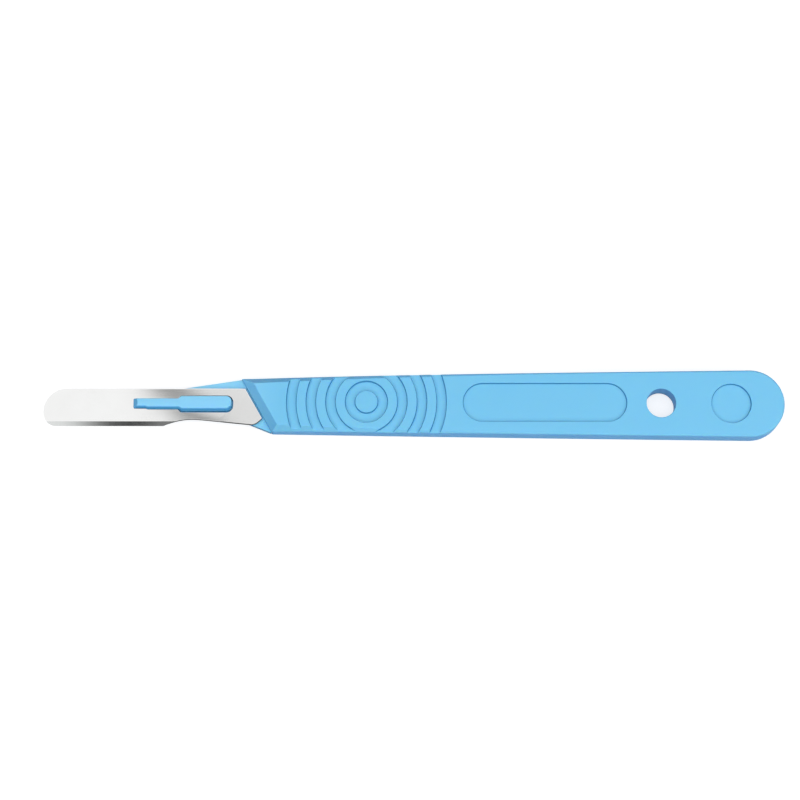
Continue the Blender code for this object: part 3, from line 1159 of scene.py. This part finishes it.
@dataclass
class Moulding:
    """The handle's one plastic moulding: body, neck, boss, grip rings, fields and hang hole."""

    tail_x: float = 75.0
    thickness: float = 4.5
    tail_radius: float = 6.9
    front_half_width: float = 5.5
    side_bulge: float = 0.07
    shoulder_x: float = -31.75
    shoulder_slant: float = math.radians(29.4)
    shoulder_run: float = 1.55
    shoulder_drop: float = 1.7
    chamfer_width: float = 1.3
    chamfer_length: float = 73.0
    chamfer_width_power: float = 2.2
    chamfer_drop_power: float = 3.0
    edge_break: float = 0.25
    back_break: float = 0.15
    neck_top: float = 2.2
    neck_bottom: float = 0.6
    neck_inset: float = 0.06
    neck_upper_run: float = 19.0
    neck_lower_run: float = 8.6
    neck_toe: float = 0.35
    tongue_tip_x: float = -58.0
    tongue_y: float = 0.2
    tongue_half_width: float = 2.3
    tongue_corner: float = 1.2
    bend_radius: float = 9.0
    hole_x: float = 50.05
    hole_y: float = 0.08
    hole_radius: float = 2.95
    rim_radius: float = 0.08
    neck_rim_radius: float = 0.08
    hole_rim_radius: float = 0.15
    crease_softness: float = 0.12
    steep: float = 12.0
    draft: float = 0.015
    parting_height: float = 1.62
    side_spacing: float = 1.2
    rim_spacing: float = 0.3
    tail_steps: int = 72
    chamfer_steps: int = 80
    line_tolerance: float = 0.001
    blend_reach: float = 1.0
    sunk_margin: float = 0.5
    sunk_bend: float = 0.08
    least_inset: float = 0.01
    cross_reach: float = 6.2
    hip_spread: float = 0.06
    foot_share: float = 0.125
    foot_reach: float = 0.3
    hole_margin: float = 0.03
    bevel_margin: float = 0.3
    rings: GripRings = field(default_factory=GripRings)
    fields: RecessedFields = field(default_factory=RecessedFields)
    boss: Boss = field(default_factory=Boss)
    shade_paint: PaintedWallShade = field(default_factory=PaintedWallShade)
    finish: MouldedPlastic = field(default_factory=MouldedPlastic)
    neck_edge: Line = field(init=False)

    def __post_init__(self) -> None:
        """Draw the neck's edge once, since the height rules ask for it often."""
        self.neck_edge = self.neck_line()

    @property
    def tail_centre(self) -> float:
        """X of the middle of the round tail."""
        return self.tail_x - self.tail_radius

    def half_width(self, x: float) -> float:
        """Half the body's width at a place along it.

        Args:
            x: The place.

        Returns:
            The distance from the middle line to the side.
        """
        share = (x - self.shoulder_x) / (self.tail_centre - self.shoulder_x)
        straight = self.front_half_width + (self.tail_radius - self.front_half_width) * share
        return straight + 4.0 * self.side_bulge * share * (1.0 - share)

    def shoulder_at(self, y: float) -> float:
        """X of the slanted shoulder line at a distance across the handle."""
        return self.shoulder_x - y * math.tan(self.shoulder_slant)

    def behind_shoulder(self, x: float, y: float) -> float:
        """Distance of a place behind the shoulder line, negative ahead of it."""
        return (x - self.shoulder_at(y)) * math.cos(self.shoulder_slant)

    def from_side(self, x: float, y: float) -> float:
        """Distance in from the body's long sides and round tail.

        Args:
            x: Place along the handle.
            y: Place across it.

        Returns:
            The distance, which is negative outside the body.
        """
        if x > self.tail_centre:
            return self.tail_radius - math.hypot(x - self.tail_centre, y)
        return self.half_width(x) - abs(y)

    def chamfer_size(self, x: float) -> Point:
        """The size of the front face's side chamfer at a place along the body.

        Args:
            x: The place.

        Returns:
            Its width and its depth.
        """
        share = max(0.0, min(1.0, 1.0 - (x - self.shoulder_x) / self.chamfer_length))
        width = self.edge_break + (self.chamfer_width - self.edge_break) * share ** self.chamfer_width_power
        drop = self.edge_break + (self.shoulder_drop - self.edge_break) * share ** self.chamfer_drop_power
        return width, drop

    def corner(self, side: float, inset: float, run: float) -> Point:
        """A front corner of the body.

        Args:
            side: 1 for the upper side and -1 for the lower.
            inset: Distance in from the side.
            run: Distance behind the shoulder line.

        Returns:
            The corner's X and Y.
        """
        # The shoulder's slant and the side's taper depend on each other, so this closes in on it.
        x = self.shoulder_x
        for _ in range(CORNER_ROUNDS):
            y = side * (self.half_width(x) - inset)
            x = self.shoulder_at(y) + run / math.cos(self.shoulder_slant)
        return x, side * (self.half_width(x) - inset)

    def side_line(self, inset: Callable[[float], float], run: float) -> Line:
        """A line round the body from its lower front corner, past the tail, to its upper one.

        Args:
            inset: Distance in from the outline at each X.
            run: Distance behind the shoulder line at which it starts and ends.

        Returns:
            The points in order.
        """
        sides = []
        for side in (-1.0, 1.0):
            first, _ = self.corner(side, inset(self.shoulder_x), run)
            steps = math.ceil((self.tail_centre - first) / self.side_spacing)
            places = [first + (self.tail_centre - first) * step / steps for step in range(steps + 1)]
            sides.append([(x, side * (self.half_width(x) - inset(x))) for x in places])
        radius = self.tail_radius - inset(self.tail_centre)
        tail = arc((self.tail_centre, 0.0), (radius, radius), -90.0, 90.0, self.tail_steps)
        return sides[0] + tail[1:-1] + sides[1][::-1]

    def neck_line(self) -> Line:
        """The neck and tongue's edge from the upper end of the shoulder to the lower end.

        Returns:
            The points in order.
        """
        upper = self.corner(1.0, self.neck_inset, 0.0)
        lower = self.corner(-1.0, self.neck_inset, 0.0)
        top = self.tongue_y + self.tongue_half_width
        bottom = self.tongue_y - self.tongue_half_width
        return rounded_polygon([
            (*upper, 0.0),
            (upper[0] - self.neck_upper_run, top, self.bend_radius),
            (self.tongue_tip_x, top, self.tongue_corner),
            (self.tongue_tip_x, bottom, self.tongue_corner),
            (lower[0] - self.neck_lower_run, bottom, self.bend_radius),
            (lower[0] - self.neck_toe, lower[1], 0.0),
            (*lower, 0.0),
        ])

    def outline(self) -> Line:
        """The whole moulding from above, anticlockwise, drawn in by the wall's draft."""
        return anticlockwise(self.side_line(lambda x: self.draft, 0.0) + self.neck_line())

    def neck_drop(self, x: float, y: float, on_rim: bool) -> float:
        """How far the neck's rounded rim lies inside its face."""
        return rim_drop(0.0 if on_rim else distance_to([self.neck_edge], x, y), self.neck_rim_radius)

    def side_and_hole(self, x: float, y: float, on_rim: bool) -> tuple[float, float]:
        """What the body's sides and the hole do to a face at a place.

        Args:
            x: Place along the handle.
            y: Place across it.
            on_rim: Whether the place is on the outline or the hole's edge.

        Returns:
            Distance in from the drafted side, and the drop of the rounded rims.
        """
        side = max(0.0, self.from_side(x, y) - self.draft)
        hole = math.hypot(x - self.hole_x, y - self.hole_y) - self.hole_radius
        if hole < self.blend_reach:
            rim = rim_drop(0.0 if on_rim else hole, self.hole_rim_radius)
            return side, rim_drop(side, self.rim_radius) + rim
        side = 0.0 if on_rim else side
        return side, rim_drop(side, self.rim_radius)

    def front_height(self, x: float, y: float, on_rim: bool) -> float:
        """Height of the front face before the grip is sunk.

        Args:
            x: Place along the handle.
            y: Place across it.
            on_rim: Whether the place is on the outline or the hole's edge.

        Returns:
            The height above the back.
        """
        behind = self.behind_shoulder(x, y)
        ahead = behind < -self.line_tolerance
        neck = self.neck_top - self.neck_drop(x, y, on_rim) if ahead else self.neck_top
        if behind < -self.blend_reach:
            return neck
        side, rims = self.side_and_hole(x, y, on_rim)
        width, drop = self.chamfer_size(x)
        soft = self.crease_softness
        chamfer = self.thickness - drop * (1.0 - side / width)
        height = smooth_min(self.thickness, chamfer, min(soft, drop / 2.0))
        bevel = self.thickness - self.shoulder_drop * (1.0 - behind / self.shoulder_run)
        height = smooth_min(height, bevel, soft)
        foot = self.thickness - self.shoulder_drop + behind * self.steep
        height = smooth_min(height, foot, soft)
        sunk = self.thickness - self.fields.depth + self.fields.rise(x, y)
        height = smooth_min(height, sunk, soft) - rims
        return max(height, neck) if ahead else height

    def back_height(self, x: float, y: float, on_rim: bool) -> float:
        """Height of the back face before the grip is sunk.

        Args:
            x: Place along the handle.
            y: Place across it.
            on_rim: Whether the place is on the outline or the hole's edge.

        Returns:
            The height above the lowest point.
        """
        behind = self.behind_shoulder(x, y)
        ahead = behind < -self.line_tolerance
        neck = self.neck_bottom + self.neck_drop(x, y, on_rim) if ahead else self.neck_bottom
        if behind < -self.blend_reach:
            return neck
        side, rims = self.side_and_hole(x, y, on_rim)
        height = 0.0
        for distance in (side, behind, behind * self.steep):
            height = smooth_max(height, self.back_break - distance, self.crease_softness)
        return min(height + rims, neck) if ahead else height + rims

    def creases(self) -> list[Line]:
        """Every line on which a face of the moulding bends.

        Returns:
            The lines from above.
        """
        soft = self.crease_softness
        lines = []
        for step in (*rim_steps(self.rim_radius), self.back_break, self.back_break + soft):
            lines.append(self.side_line(lambda x: self.draft + step, 0.0))
        for share in BEND_SHARES:
            lines.append(self.side_line(lambda x: self.chamfer_inset(x, share * soft), self.shoulder_run))
        lines.extend(self.sunk_chamfer_lines())
        lines.extend(self.shoulder_lines())
        for step in rim_steps(self.hole_rim_radius):
            lines.append(circle((self.hole_x, self.hole_y), self.hole_radius + step, self.rim_spacing))
        lines.extend(self.fields.creases(soft))
        neck_loop = anticlockwise(self.neck_line())
        for step in rim_steps(self.neck_rim_radius):
            lines.append(moved_in(neck_loop, step)[1:-2])
        lines.extend(self.rings.creases(self.from_side))
        return lines

    def chamfer_inset(self, x: float, shift: float) -> float:
        """Distance in from the outline of the chamfer's inner edge, moved by a height difference."""
        width, drop = self.chamfer_size(x)
        return self.draft + width * (1.0 + min(shift, drop / 2.0) / drop)

    def sunk_chamfer_lines(self) -> list[Line]:
        """The lines on the side chamfers at the height of the sunk bands' floor.

        Returns:
            The lines from above.
        """
        depth = self.rings.front_depth
        reach = self.rings.edges()[-1] + self.sunk_margin
        places = [
            self.rings.centre_x - reach + 2.0 * reach * step / self.chamfer_steps
            for step in range(self.chamfer_steps + 1)]
        lines = []
        for share in BEND_SHARES:
            for side in (-1.0, 1.0):
                line = []
                for x in places:
                    width, drop = self.chamfer_size(x)
                    inset = width * (1.0 - depth / drop) + share * self.sunk_bend
                    if inset > self.least_inset:
                        line.append((x, side * (self.half_width(x) - self.draft - inset)))
                if len(line) > 1:
                    lines.append(line)
        return lines

    def shoulder_lines(self) -> list[Line]:
        """The lines along the shoulder's bevel, its foot and the hips at its two ends.

        Returns:
            The lines from above.
        """
        soft = self.crease_softness
        run = (self.neck_top - self.thickness + self.shoulder_drop) / self.steep
        bevel = soft * self.shoulder_run / self.shoulder_drop
        distances = [run, run / 2.0, 0.0, soft / self.steep, bevel * self.foot_share]
        distances += [self.back_break, self.back_break + soft]
        distances += [self.shoulder_run + share * bevel for share in BEND_SHARES]
        lines = []
        for behind in distances:
            shift = behind / math.cos(self.shoulder_slant)
            ends = (-self.cross_reach, self.cross_reach)
            lines.append([(self.shoulder_at(y) + shift, y) for y in ends])
        for side in (-1.0, 1.0):
            outer = self.corner(side, self.draft, 0.0)
            inner = self.corner(side, self.draft + self.chamfer_width, self.shoulder_run)
            for shift in (-self.hip_spread, 0.0, self.hip_spread):
                lines.append([(outer[0] + shift, outer[1]), (inner[0] + shift, inner[1])])
        return lines

    def recess_shade_share(self, x: float, y: float, z: float) -> float:
        """How much painted shade a wall takes on in a recess instead of outwards.

        Args:
            x: Place along the handle.
            y: Place across it.
            z: Its height.

        Returns:
            0 for an outer wall, up to 1 for the darkest wall of a recess.
        """
        behind = self.behind_shoulder(x, y)
        if behind < -self.foot_reach:
            return self.shade_paint.boss if z > self.neck_top else self.shade_paint.neck
        if behind < self.foot_reach:
            return self.shade_paint.shoulder
        if math.hypot(x - self.hole_x, y - self.hole_y) < self.hole_radius + self.hole_margin:
            return self.shade_paint.hole
        return self.shade_paint.band if self.from_side(x, y) > self.rim_radius else 0.0

    def wall_shade_shares(self, x: float, y: float, z: float, normal: Vector) -> Point:
        """How dark a face is painted, as painted shade on the moulding's walls.

        Args:
            x: Place of the face along the handle.
            y: Its place across.
            z: Its height.
            normal: The direction it faces.

        Returns:
            Its share of painted shade as a side wall, and as a wall in a recess.
        """
        shade_paint = self.shade_paint
        behind = self.behind_shoulder(x, y)
        on_boss = z > self.boss.lip_z and behind < -self.blend_reach
        on_flank = on_boss and normal.y < -shade_paint.flank_turn
        side = steepness(normal, shade_paint.flank_flat if on_flank else shade_paint.wall_flat)
        recess = side * self.recess_shade_share(x, y, z)
        high = z > self.boss.lip_z - self.bevel_margin
        on_bevel = high and behind < self.shoulder_run and normal.x < -shade_paint.bevel_turn
        on_chamfer = behind > 0.0 and normal.y > shade_paint.chamfer_turn and z > self.thickness / 2.0
        nose_end = self.boss.front_x + self.boss.nose_run
        on_nose = on_boss and x < nose_end and normal.x < -shade_paint.nose_turn
        for found, least in (
                (on_bevel, shade_paint.bevel), (on_chamfer, shade_paint.chamfer), (on_nose, shade_paint.nose)):
            if found:
                side = max(side, least[0])
                recess = max(recess, least[1])
        return side, recess

    def paint_wall_shade(self, piece: bpy.types.Object) -> None:
        """Store on each face its share of painted shade as a side wall and as a wall in a recess.

        Args:
            piece: The finished moulding.
        """
        shares = []
        for polygon in piece.data.polygons:
            x, y, z = (value / MM for value in polygon.center)
            shares.append(self.wall_shade_shares(x, y, z, polygon.normal))
        for name, values in zip(("side_wall_shade", "recess_wall_shade"), zip(*shares)):
            piece.data.attributes.new(name, "FLOAT", "FACE").data.foreach_set("value", values)

    def build(self) -> bpy.types.Object:
        """Make and dress the whole moulding.

        Returns:
            The finished piece.
        """
        hole = circle((self.hole_x, self.hole_y), self.hole_radius, self.rim_spacing)[:-1]
        solid = PlanSolid(
            "moulded_handle", [self.outline(), hole], self.creases(), self.front_height, self.back_height,
            belly=self.draft, belly_height=self.parting_height)
        piece = solid.build()
        material = self.finish.material()
        piece.data.materials.append(material)
        self.rings.sink(piece, self.thickness, material)
        join_solids(piece, self.boss.build())
        piece.data.materials.clear()
        piece.data.materials.append(material)
        shade(piece)
        self.paint_wall_shade(piece)
        return piece


@dataclass
class Blade:
    """The stamped blade: straight spine, round tip, ground edge, waist, heel and key slot."""

    tip_x: float = -75.0
    bottom_z: float = 2.35
    thickness: float = 0.4
    spine_y: float = 3.5
    edge_y: float = -4.3
    tip_upper_radius: float = 4.7
    tip_lower_radius: float = 2.6
    tip_front_y: float = -1.3
    waist_x: float = -45.0
    waist_run: float = 5.6
    waist_rise: float = 1.3
    heel_rise: float = 0.1
    heel_cut: Point = (2.4, 1.65)
    heel_radii: Point = (2.2, 0.25)
    ground_width: float = 0.95
    edge_land: float = 0.04
    shoulder_gap: float = 0.35
    edge_radius: float = 0.18
    keen_margin: float = 0.02
    shaded_cut_flat: float = 0.99
    shaded_cut_turn: float = 0.2
    ground_flat: float = 0.999
    beyond_rim: float = 1.25
    crease_reach: float = 1.0
    steps: int = 28
    finish: PolishedSteel = PolishedSteel()
    shaded_cut_finish: PolishedSteel = SHEARED_STEEL_PAINTED_SHADE
    ground_finish: PolishedSteel = GROUND_STEEL

    @property
    def top_z(self) -> float:
        """Height of the blade's upper face."""
        return self.bottom_z + self.thickness

    def outline(self, shoulder_at: Callable[[float], float]) -> Line:
        """The blade from above.

        Args:
            shoulder_at: X of the handle's shoulder line at each Y.

        Returns:
            The outline, anticlockwise.
        """
        upper_centre = (self.tip_x + self.tip_upper_radius, self.tip_front_y)
        lower_centre = (self.tip_x + self.tip_lower_radius, self.tip_front_y)
        heel_y = self.edge_y + self.heel_rise
        edge_end = (self.waist_x - self.waist_run, self.edge_y)
        waist = (self.waist_x, self.edge_y + self.waist_rise)
        heel = (shoulder_at(heel_y) - self.shoulder_gap, heel_y)
        rear_top = (shoulder_at(self.spine_y) - self.shoulder_gap, self.spine_y)
        upper_radii = (self.tip_upper_radius, self.spine_y - self.tip_front_y)
        lower_radii = (self.tip_lower_radius, self.tip_front_y - self.edge_y)
        points = [rear_top]
        points += arc(upper_centre, upper_radii, 90.0, 180.0, self.steps)
        points += arc(lower_centre, lower_radii, 180.0, 270.0, self.steps)[1:]
        points.append(edge_end)
        rise = (edge_end[0] + self.waist_run / 4.0, self.edge_y + self.waist_rise / 2.0)
        points += bezier(edge_end, rise, (waist[0] - self.waist_run / 3.0, waist[1]), waist, self.steps)
        length = math.dist(heel, rear_top)
        low = (heel[0] - self.heel_cut[0], heel[1])
        high = tuple(a + (b - a) * self.heel_cut[1] / length for a, b in zip(heel, rear_top))
        rounding = rounded_corner(waist, low, high, self.heel_radii[0])
        rounding += rounded_corner(low, high, rear_top, self.heel_radii[1])
        run = rounding[0][0] - waist[0]
        slope = (low[1] - waist[1]) / (low[0] - waist[0])
        before = (rounding[0][0] - run / 2.0, rounding[0][1] - slope * run / 2.0)
        points += bezier(waist, (waist[0] + run / 6.0, waist[1]), before, rounding[0], self.steps)
        return anticlockwise(points + rounding[1:])

    def ground_drop(self, y: float) -> float:
        """How far the ground bevel lies below the face at a distance across the blade."""
        depth = (self.thickness - self.edge_land) / 2.0
        return depth * max(0.0, 1.0 - (y - self.edge_y) / self.ground_width)

    def build(self, shoulder_at: Callable[[float], float], slot: Line) -> bpy.types.Object:
        """Make and dress the blade.

        Args:
            shoulder_at: X of the handle's shoulder line at each Y.
            slot: Outline of the slot that the boss fills.

        Returns:
            The finished piece.
        """
        outline = self.outline(shoulder_at)
        rims = [outline + outline[:1], slot + slot[:1]]
        keen_y = self.edge_y + self.keen_margin
        stamped = [[point for point in rims[0] if point[1] > keen_y], rims[1]]

        def drop(x: float, y: float, on_rim: bool) -> float:
            """How far each face lies inside the blade's full thickness.

            Args:
                x: Place along the blade.
                y: Place across it.
                on_rim: Whether the place is on the outline or the slot's edge.

            Returns:
                The drop on one face.
            """
            edge = 0.0 if on_rim else distance_to(stamped, x, y)
            rounding = rim_drop(edge, self.edge_radius) if y > keen_y else 0.0
            return max(self.ground_drop(y) if x < self.waist_x else 0.0, rounding)

        creases = []
        for loop, side in ((outline, 1.0), (slot, -1.0)):
            for step in (*rim_steps(self.edge_radius), self.beyond_rim * self.edge_radius):
                creases.append(moved_in(loop, side * step))
        ground_line = self.edge_y + self.ground_width
        creases.append([(self.tip_x - self.crease_reach, ground_line), (self.waist_x, ground_line)])
        solid = PlanSolid(
            "steel_blade", [outline, slot], creases,
            lambda x, y, r: self.top_z - drop(x, y, r), lambda x, y, r: self.bottom_z + drop(x, y, r))
        piece = solid.build()
        for finish in (self.finish, self.shaded_cut_finish, self.ground_finish):
            piece.data.materials.append(finish.material())
        for polygon in piece.data.polygons:
            x, y = (value / MM for value in polygon.center[:2])
            flatness = abs(polygon.normal.z)
            # The sheared edges that face the camera's side take the near-black finish, as painted shade and
            # dark reflection.
            on_shaded_cut = x > self.waist_x - self.waist_run and polygon.normal.y < -self.shaded_cut_turn
            if on_shaded_cut and flatness < self.shaded_cut_flat:
                polygon.material_index = 1
            elif y < ground_line and flatness < self.ground_flat:
                polygon.material_index = 2
        return shade(piece)


@dataclass(frozen=True)
class GreyCard:
    """A graded card over the set, which fades from white to a dark core and up to a paler far side.

    Its places along X are the places on the blade in which the camera sees those shades, and z,
    lean and slant say how high the blade is there, how far it leans towards the camera's side,
    and how the shades slant across it.
    """

    name: str
    white_x: float
    core_x: float
    core_run: float
    far_x: float
    core_level: float
    far_level: float
    z: float
    lean: float
    slant: float
    low_y: float
    high_y: float

    def level(self, x: float) -> float:
        """Brightness of the card at the place seen at an X of the blade.

        Args:
            x: The place along the blade.

        Returns:
            The brightness, where 1 is white.
        """
        if x < self.core_x:
            end_level = 1.0
            share = (self.core_x - x) / (self.core_x - self.white_x)
        else:
            end_level = self.far_level
            core_end = self.core_x + self.core_run
            share = (x - core_end) / (self.far_x - core_end)
        climb = (1.0 - math.cos(math.pi * min(1.0, max(0.0, share)))) / 2.0
        return self.core_level + (end_level - self.core_level) * climb


# The ground bevel falls 0.18 mm over its width of 0.95 mm.
GROUND_LEAN = math.atan(0.18 / 0.95)
FACE_CARD = GreyCard(
    name="face_card",
    white_x=-54.5, core_x=-46.3, core_run=1.1, far_x=-38.6, core_level=0.32, far_level=0.80,
    z=2.75, lean=0.0, slant=-0.8, low_y=-9.0, high_y=9.0)
EDGE_CARD = GreyCard(
    name="edge_card",
    white_x=-72.5, core_x=-60.0, core_run=5.0, far_x=-51.0, core_level=0.09, far_level=0.27,
    z=2.65, lean=GROUND_LEAN, slant=0.0, low_y=-24.0, high_y=18.0)


@dataclass
class Studio:
    """The pale floor, the soft overhead light, the white surroundings and the camera."""

    target: Triple = (-2.72, 0.664, 4.5)
    distance: float = 448.7
    tilt: float = math.radians(13.0)
    lens: float = 100.0
    clip: Point = (0.01, 20.0)
    floor_size: float = 3.0
    floor_gap: float = 0.05 * MM
    floor_colour: Rgba = (0.5, 0.5, 0.48, 1.0)
    floor_glow: float = 0.66
    fade_run: Point = (0.12, 0.4)
    bounce_colour: Rgba = (0.22, 0.22, 0.22, 1.0)
    box_height: float = 0.6
    box_low: Point = (-0.8, -1.2)
    box_high: Point = (1.1, 0.35)
    box_level: float = 1.52
    world_colour: Rgba = (0.07, 0.08, 0.16, 1.0)
    card_height: float = 500.0
    card_steps: int = 24

    @property
    def eye(self) -> Vector:
        """Where the camera stands, in millimetres."""
        back = Vector((0.0, -math.sin(self.tilt), math.cos(self.tilt)))
        return Vector(self.target) + back * self.distance

    def camera(self) -> None:
        """Place the camera at the photograph's angle."""
        data = bpy.data.cameras.new("photo_camera")
        data.lens = self.lens
        data.clip_start, data.clip_end = self.clip
        camera = new_object("photo_camera", data)
        camera.location = self.eye * MM
        camera.rotation_euler = (self.tilt, 0.0, 0.0)
        bpy.context.scene.camera = camera

    def light(self) -> None:
        """Hang one large soft light over the front of the object."""
        data = bpy.data.lights.new("overhead_softbox", "AREA")
        data.shape = "RECTANGLE"
        data.size, data.size_y = (high - low for low, high in zip(self.box_low, self.box_high))
        data.energy = math.pi * data.size * data.size_y * self.box_level
        box = new_object("overhead_softbox", data)
        box.visible_glossy = False
        middle = [(low + high) / 2.0 for low, high in zip(self.box_low, self.box_high)]
        box.location = (*middle, self.box_height)

    def seen_directly(self, graph: Graph) -> Socket:
        """Tell the rays that show a surface from those that carry its light.

        Args:
            graph: The graph of the material or the world.

        Returns:
            1 for a camera, glossy or transmission ray, and 0 for any other.
        """
        path = graph.node("ShaderNodeLightPath").outputs
        seen = graph.math("MAXIMUM", path["Is Camera Ray"], path["Is Glossy Ray"])
        return graph.math("MAXIMUM", seen, path["Is Transmission Ray"])

    def world(self) -> None:
        """Surround the object with white that lights it only a little."""
        world = bpy.data.worlds.new("white_surroundings")
        world.use_nodes = True
        graph = Graph(world.node_tree)
        tint = graph.blend(self.seen_directly(graph), self.world_colour, WHITE)
        graph.feed(world.node_tree.nodes["Background"], {"Color": tint})
        bpy.context.scene.world = world

    def floor(self) -> None:
        """Lay the pale floor that keeps the object's shadow."""
        half = self.floor_size / 2.0
        mesh = bpy.data.meshes.new("pale_floor")
        corners = [(-half, -half), (half, -half), (half, half), (-half, half)]
        mesh.from_pydata([(x, y, -self.floor_gap) for x, y in corners], [], [(0, 1, 2, 3)])
        material, graph, shader = new_shader("pale_floor_paint")
        graph.tree.nodes.remove(shader)
        paint, dim_paint = (
            graph.node("ShaderNodeBsdfDiffuse", {"Color": colour}).outputs[0]
            for colour in (self.floor_colour, self.bounce_colour))
        glow, white = (
            graph.node("ShaderNodeEmission", {"Strength": strength}).outputs[0]
            for strength in (self.floor_glow, 1.0))
        lit = graph.node("ShaderNodeAddShader", {0: paint, 1: glow}).outputs[0]
        place = graph.node("ShaderNodeTexCoord").outputs["Object"]
        away = graph.node("ShaderNodeVectorMath", {0: place}, operation="LENGTH").outputs["Value"]
        fade = graph.ranged(away, 0.0, 1.0, *self.fade_run)
        spread = graph.node("ShaderNodeMixShader", {0: fade, 1: lit, 2: white}).outputs[0]
        choice = {0: self.seen_directly(graph), 1: dim_paint, 2: spread}
        graph.finish(graph.node("ShaderNodeMixShader", choice))
        mesh.materials.append(material)
        new_object("pale_floor", mesh)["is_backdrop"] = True

    def seen_in(self, x: float, y: float, z: float, lean: float) -> Vector:
        """Where on the cards' level the camera looks when it looks at a polished place.

        Args:
            x: The place's X.
            y: The place's Y.
            z: The place's height.
            lean: How far the surface there leans towards the camera's side, in radians.

        Returns:
            The reflected point.
        """
        place = Vector((x, y, z))
        normal = Vector((0.0, -math.sin(lean), math.cos(lean)))
        ray = (place - self.eye).normalized()
        ray -= 2.0 * ray.dot(normal) * normal
        return place + ray * ((self.card_height - z) / ray.z)

    def card(self, card: GreyCard) -> None:
        """Hang a graded grey card that only reflections show.

        Args:
            card: Its places and shades.
        """
        verts = []
        levels = []
        last_x = card.far_x + card.core_run + (card.core_x - card.white_x)
        for step in range(self.card_steps + 1):
            x = card.white_x + (last_x - card.white_x) * step / self.card_steps
            for y in (card.low_y, card.high_y):
                verts.append(self.seen_in(x + card.slant * y, y, card.z, card.lean) * MM)
                levels.append(card.level(x))
        faces = [(2 * k, 2 * k + 1, 2 * k + 3, 2 * k + 2) for k in range(self.card_steps)]
        mesh = bpy.data.meshes.new(card.name)
        mesh.from_pydata(verts, [], faces)
        mesh.attributes.new("level", "FLOAT", "POINT").data.foreach_set("value", levels)
        piece = new_object(card.name, mesh)
        piece.visible_camera = False
        piece.visible_diffuse = False
        piece.visible_shadow = False
        material, graph, shader = new_shader(card.name + "_paint")
        graph.tree.nodes.remove(shader)
        graph.finish(graph.node("ShaderNodeEmission", {"Strength": graph.attribute("level")}))
        mesh.materials.append(material)
        piece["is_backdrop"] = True

    def build(self) -> None:
        """Set up everything round the object."""
        bpy.context.scene.view_settings.view_transform = "Standard"
        self.camera()
        self.light()
        self.world()
        self.floor()
        for card in (FACE_CARD, EDGE_CARD):
            self.card(card)


def report(piece: bpy.types.Object) -> None:
    """Log a finished piece's size and number of triangles.

    Args:
        piece: The piece.
    """
    triangles = sum(len(polygon.vertices) - 2 for polygon in piece.data.polygons)
    size = " x ".join("%.2f" % (side / MM) for side in piece.dimensions)
    log.info("%s: %d triangles, %s mm", piece.name, triangles, size)


def corners() -> list[list[float]]:
    """Lowest and highest corner of the shown object, as plain numbers."""
    return [[float(value) for value in corner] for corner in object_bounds()]


def main() -> None:
    """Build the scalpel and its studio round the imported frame."""
    logging.basicConfig(level=logging.INFO, format="%(name)s: %(message)s")
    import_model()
    handle = Moulding()
    blade = Blade()
    made = (
        (handle.build(), "handle", "handle_plastic"),
        (blade.build(handle.shoulder_at, handle.boss.slot()), "blade", "blade_steel"),
    )
    for piece, node, slot_name in made:
        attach(piece, "root")
        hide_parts(node)
        report(piece)
    Studio().build()


if __name__ == "__main__":
    main()
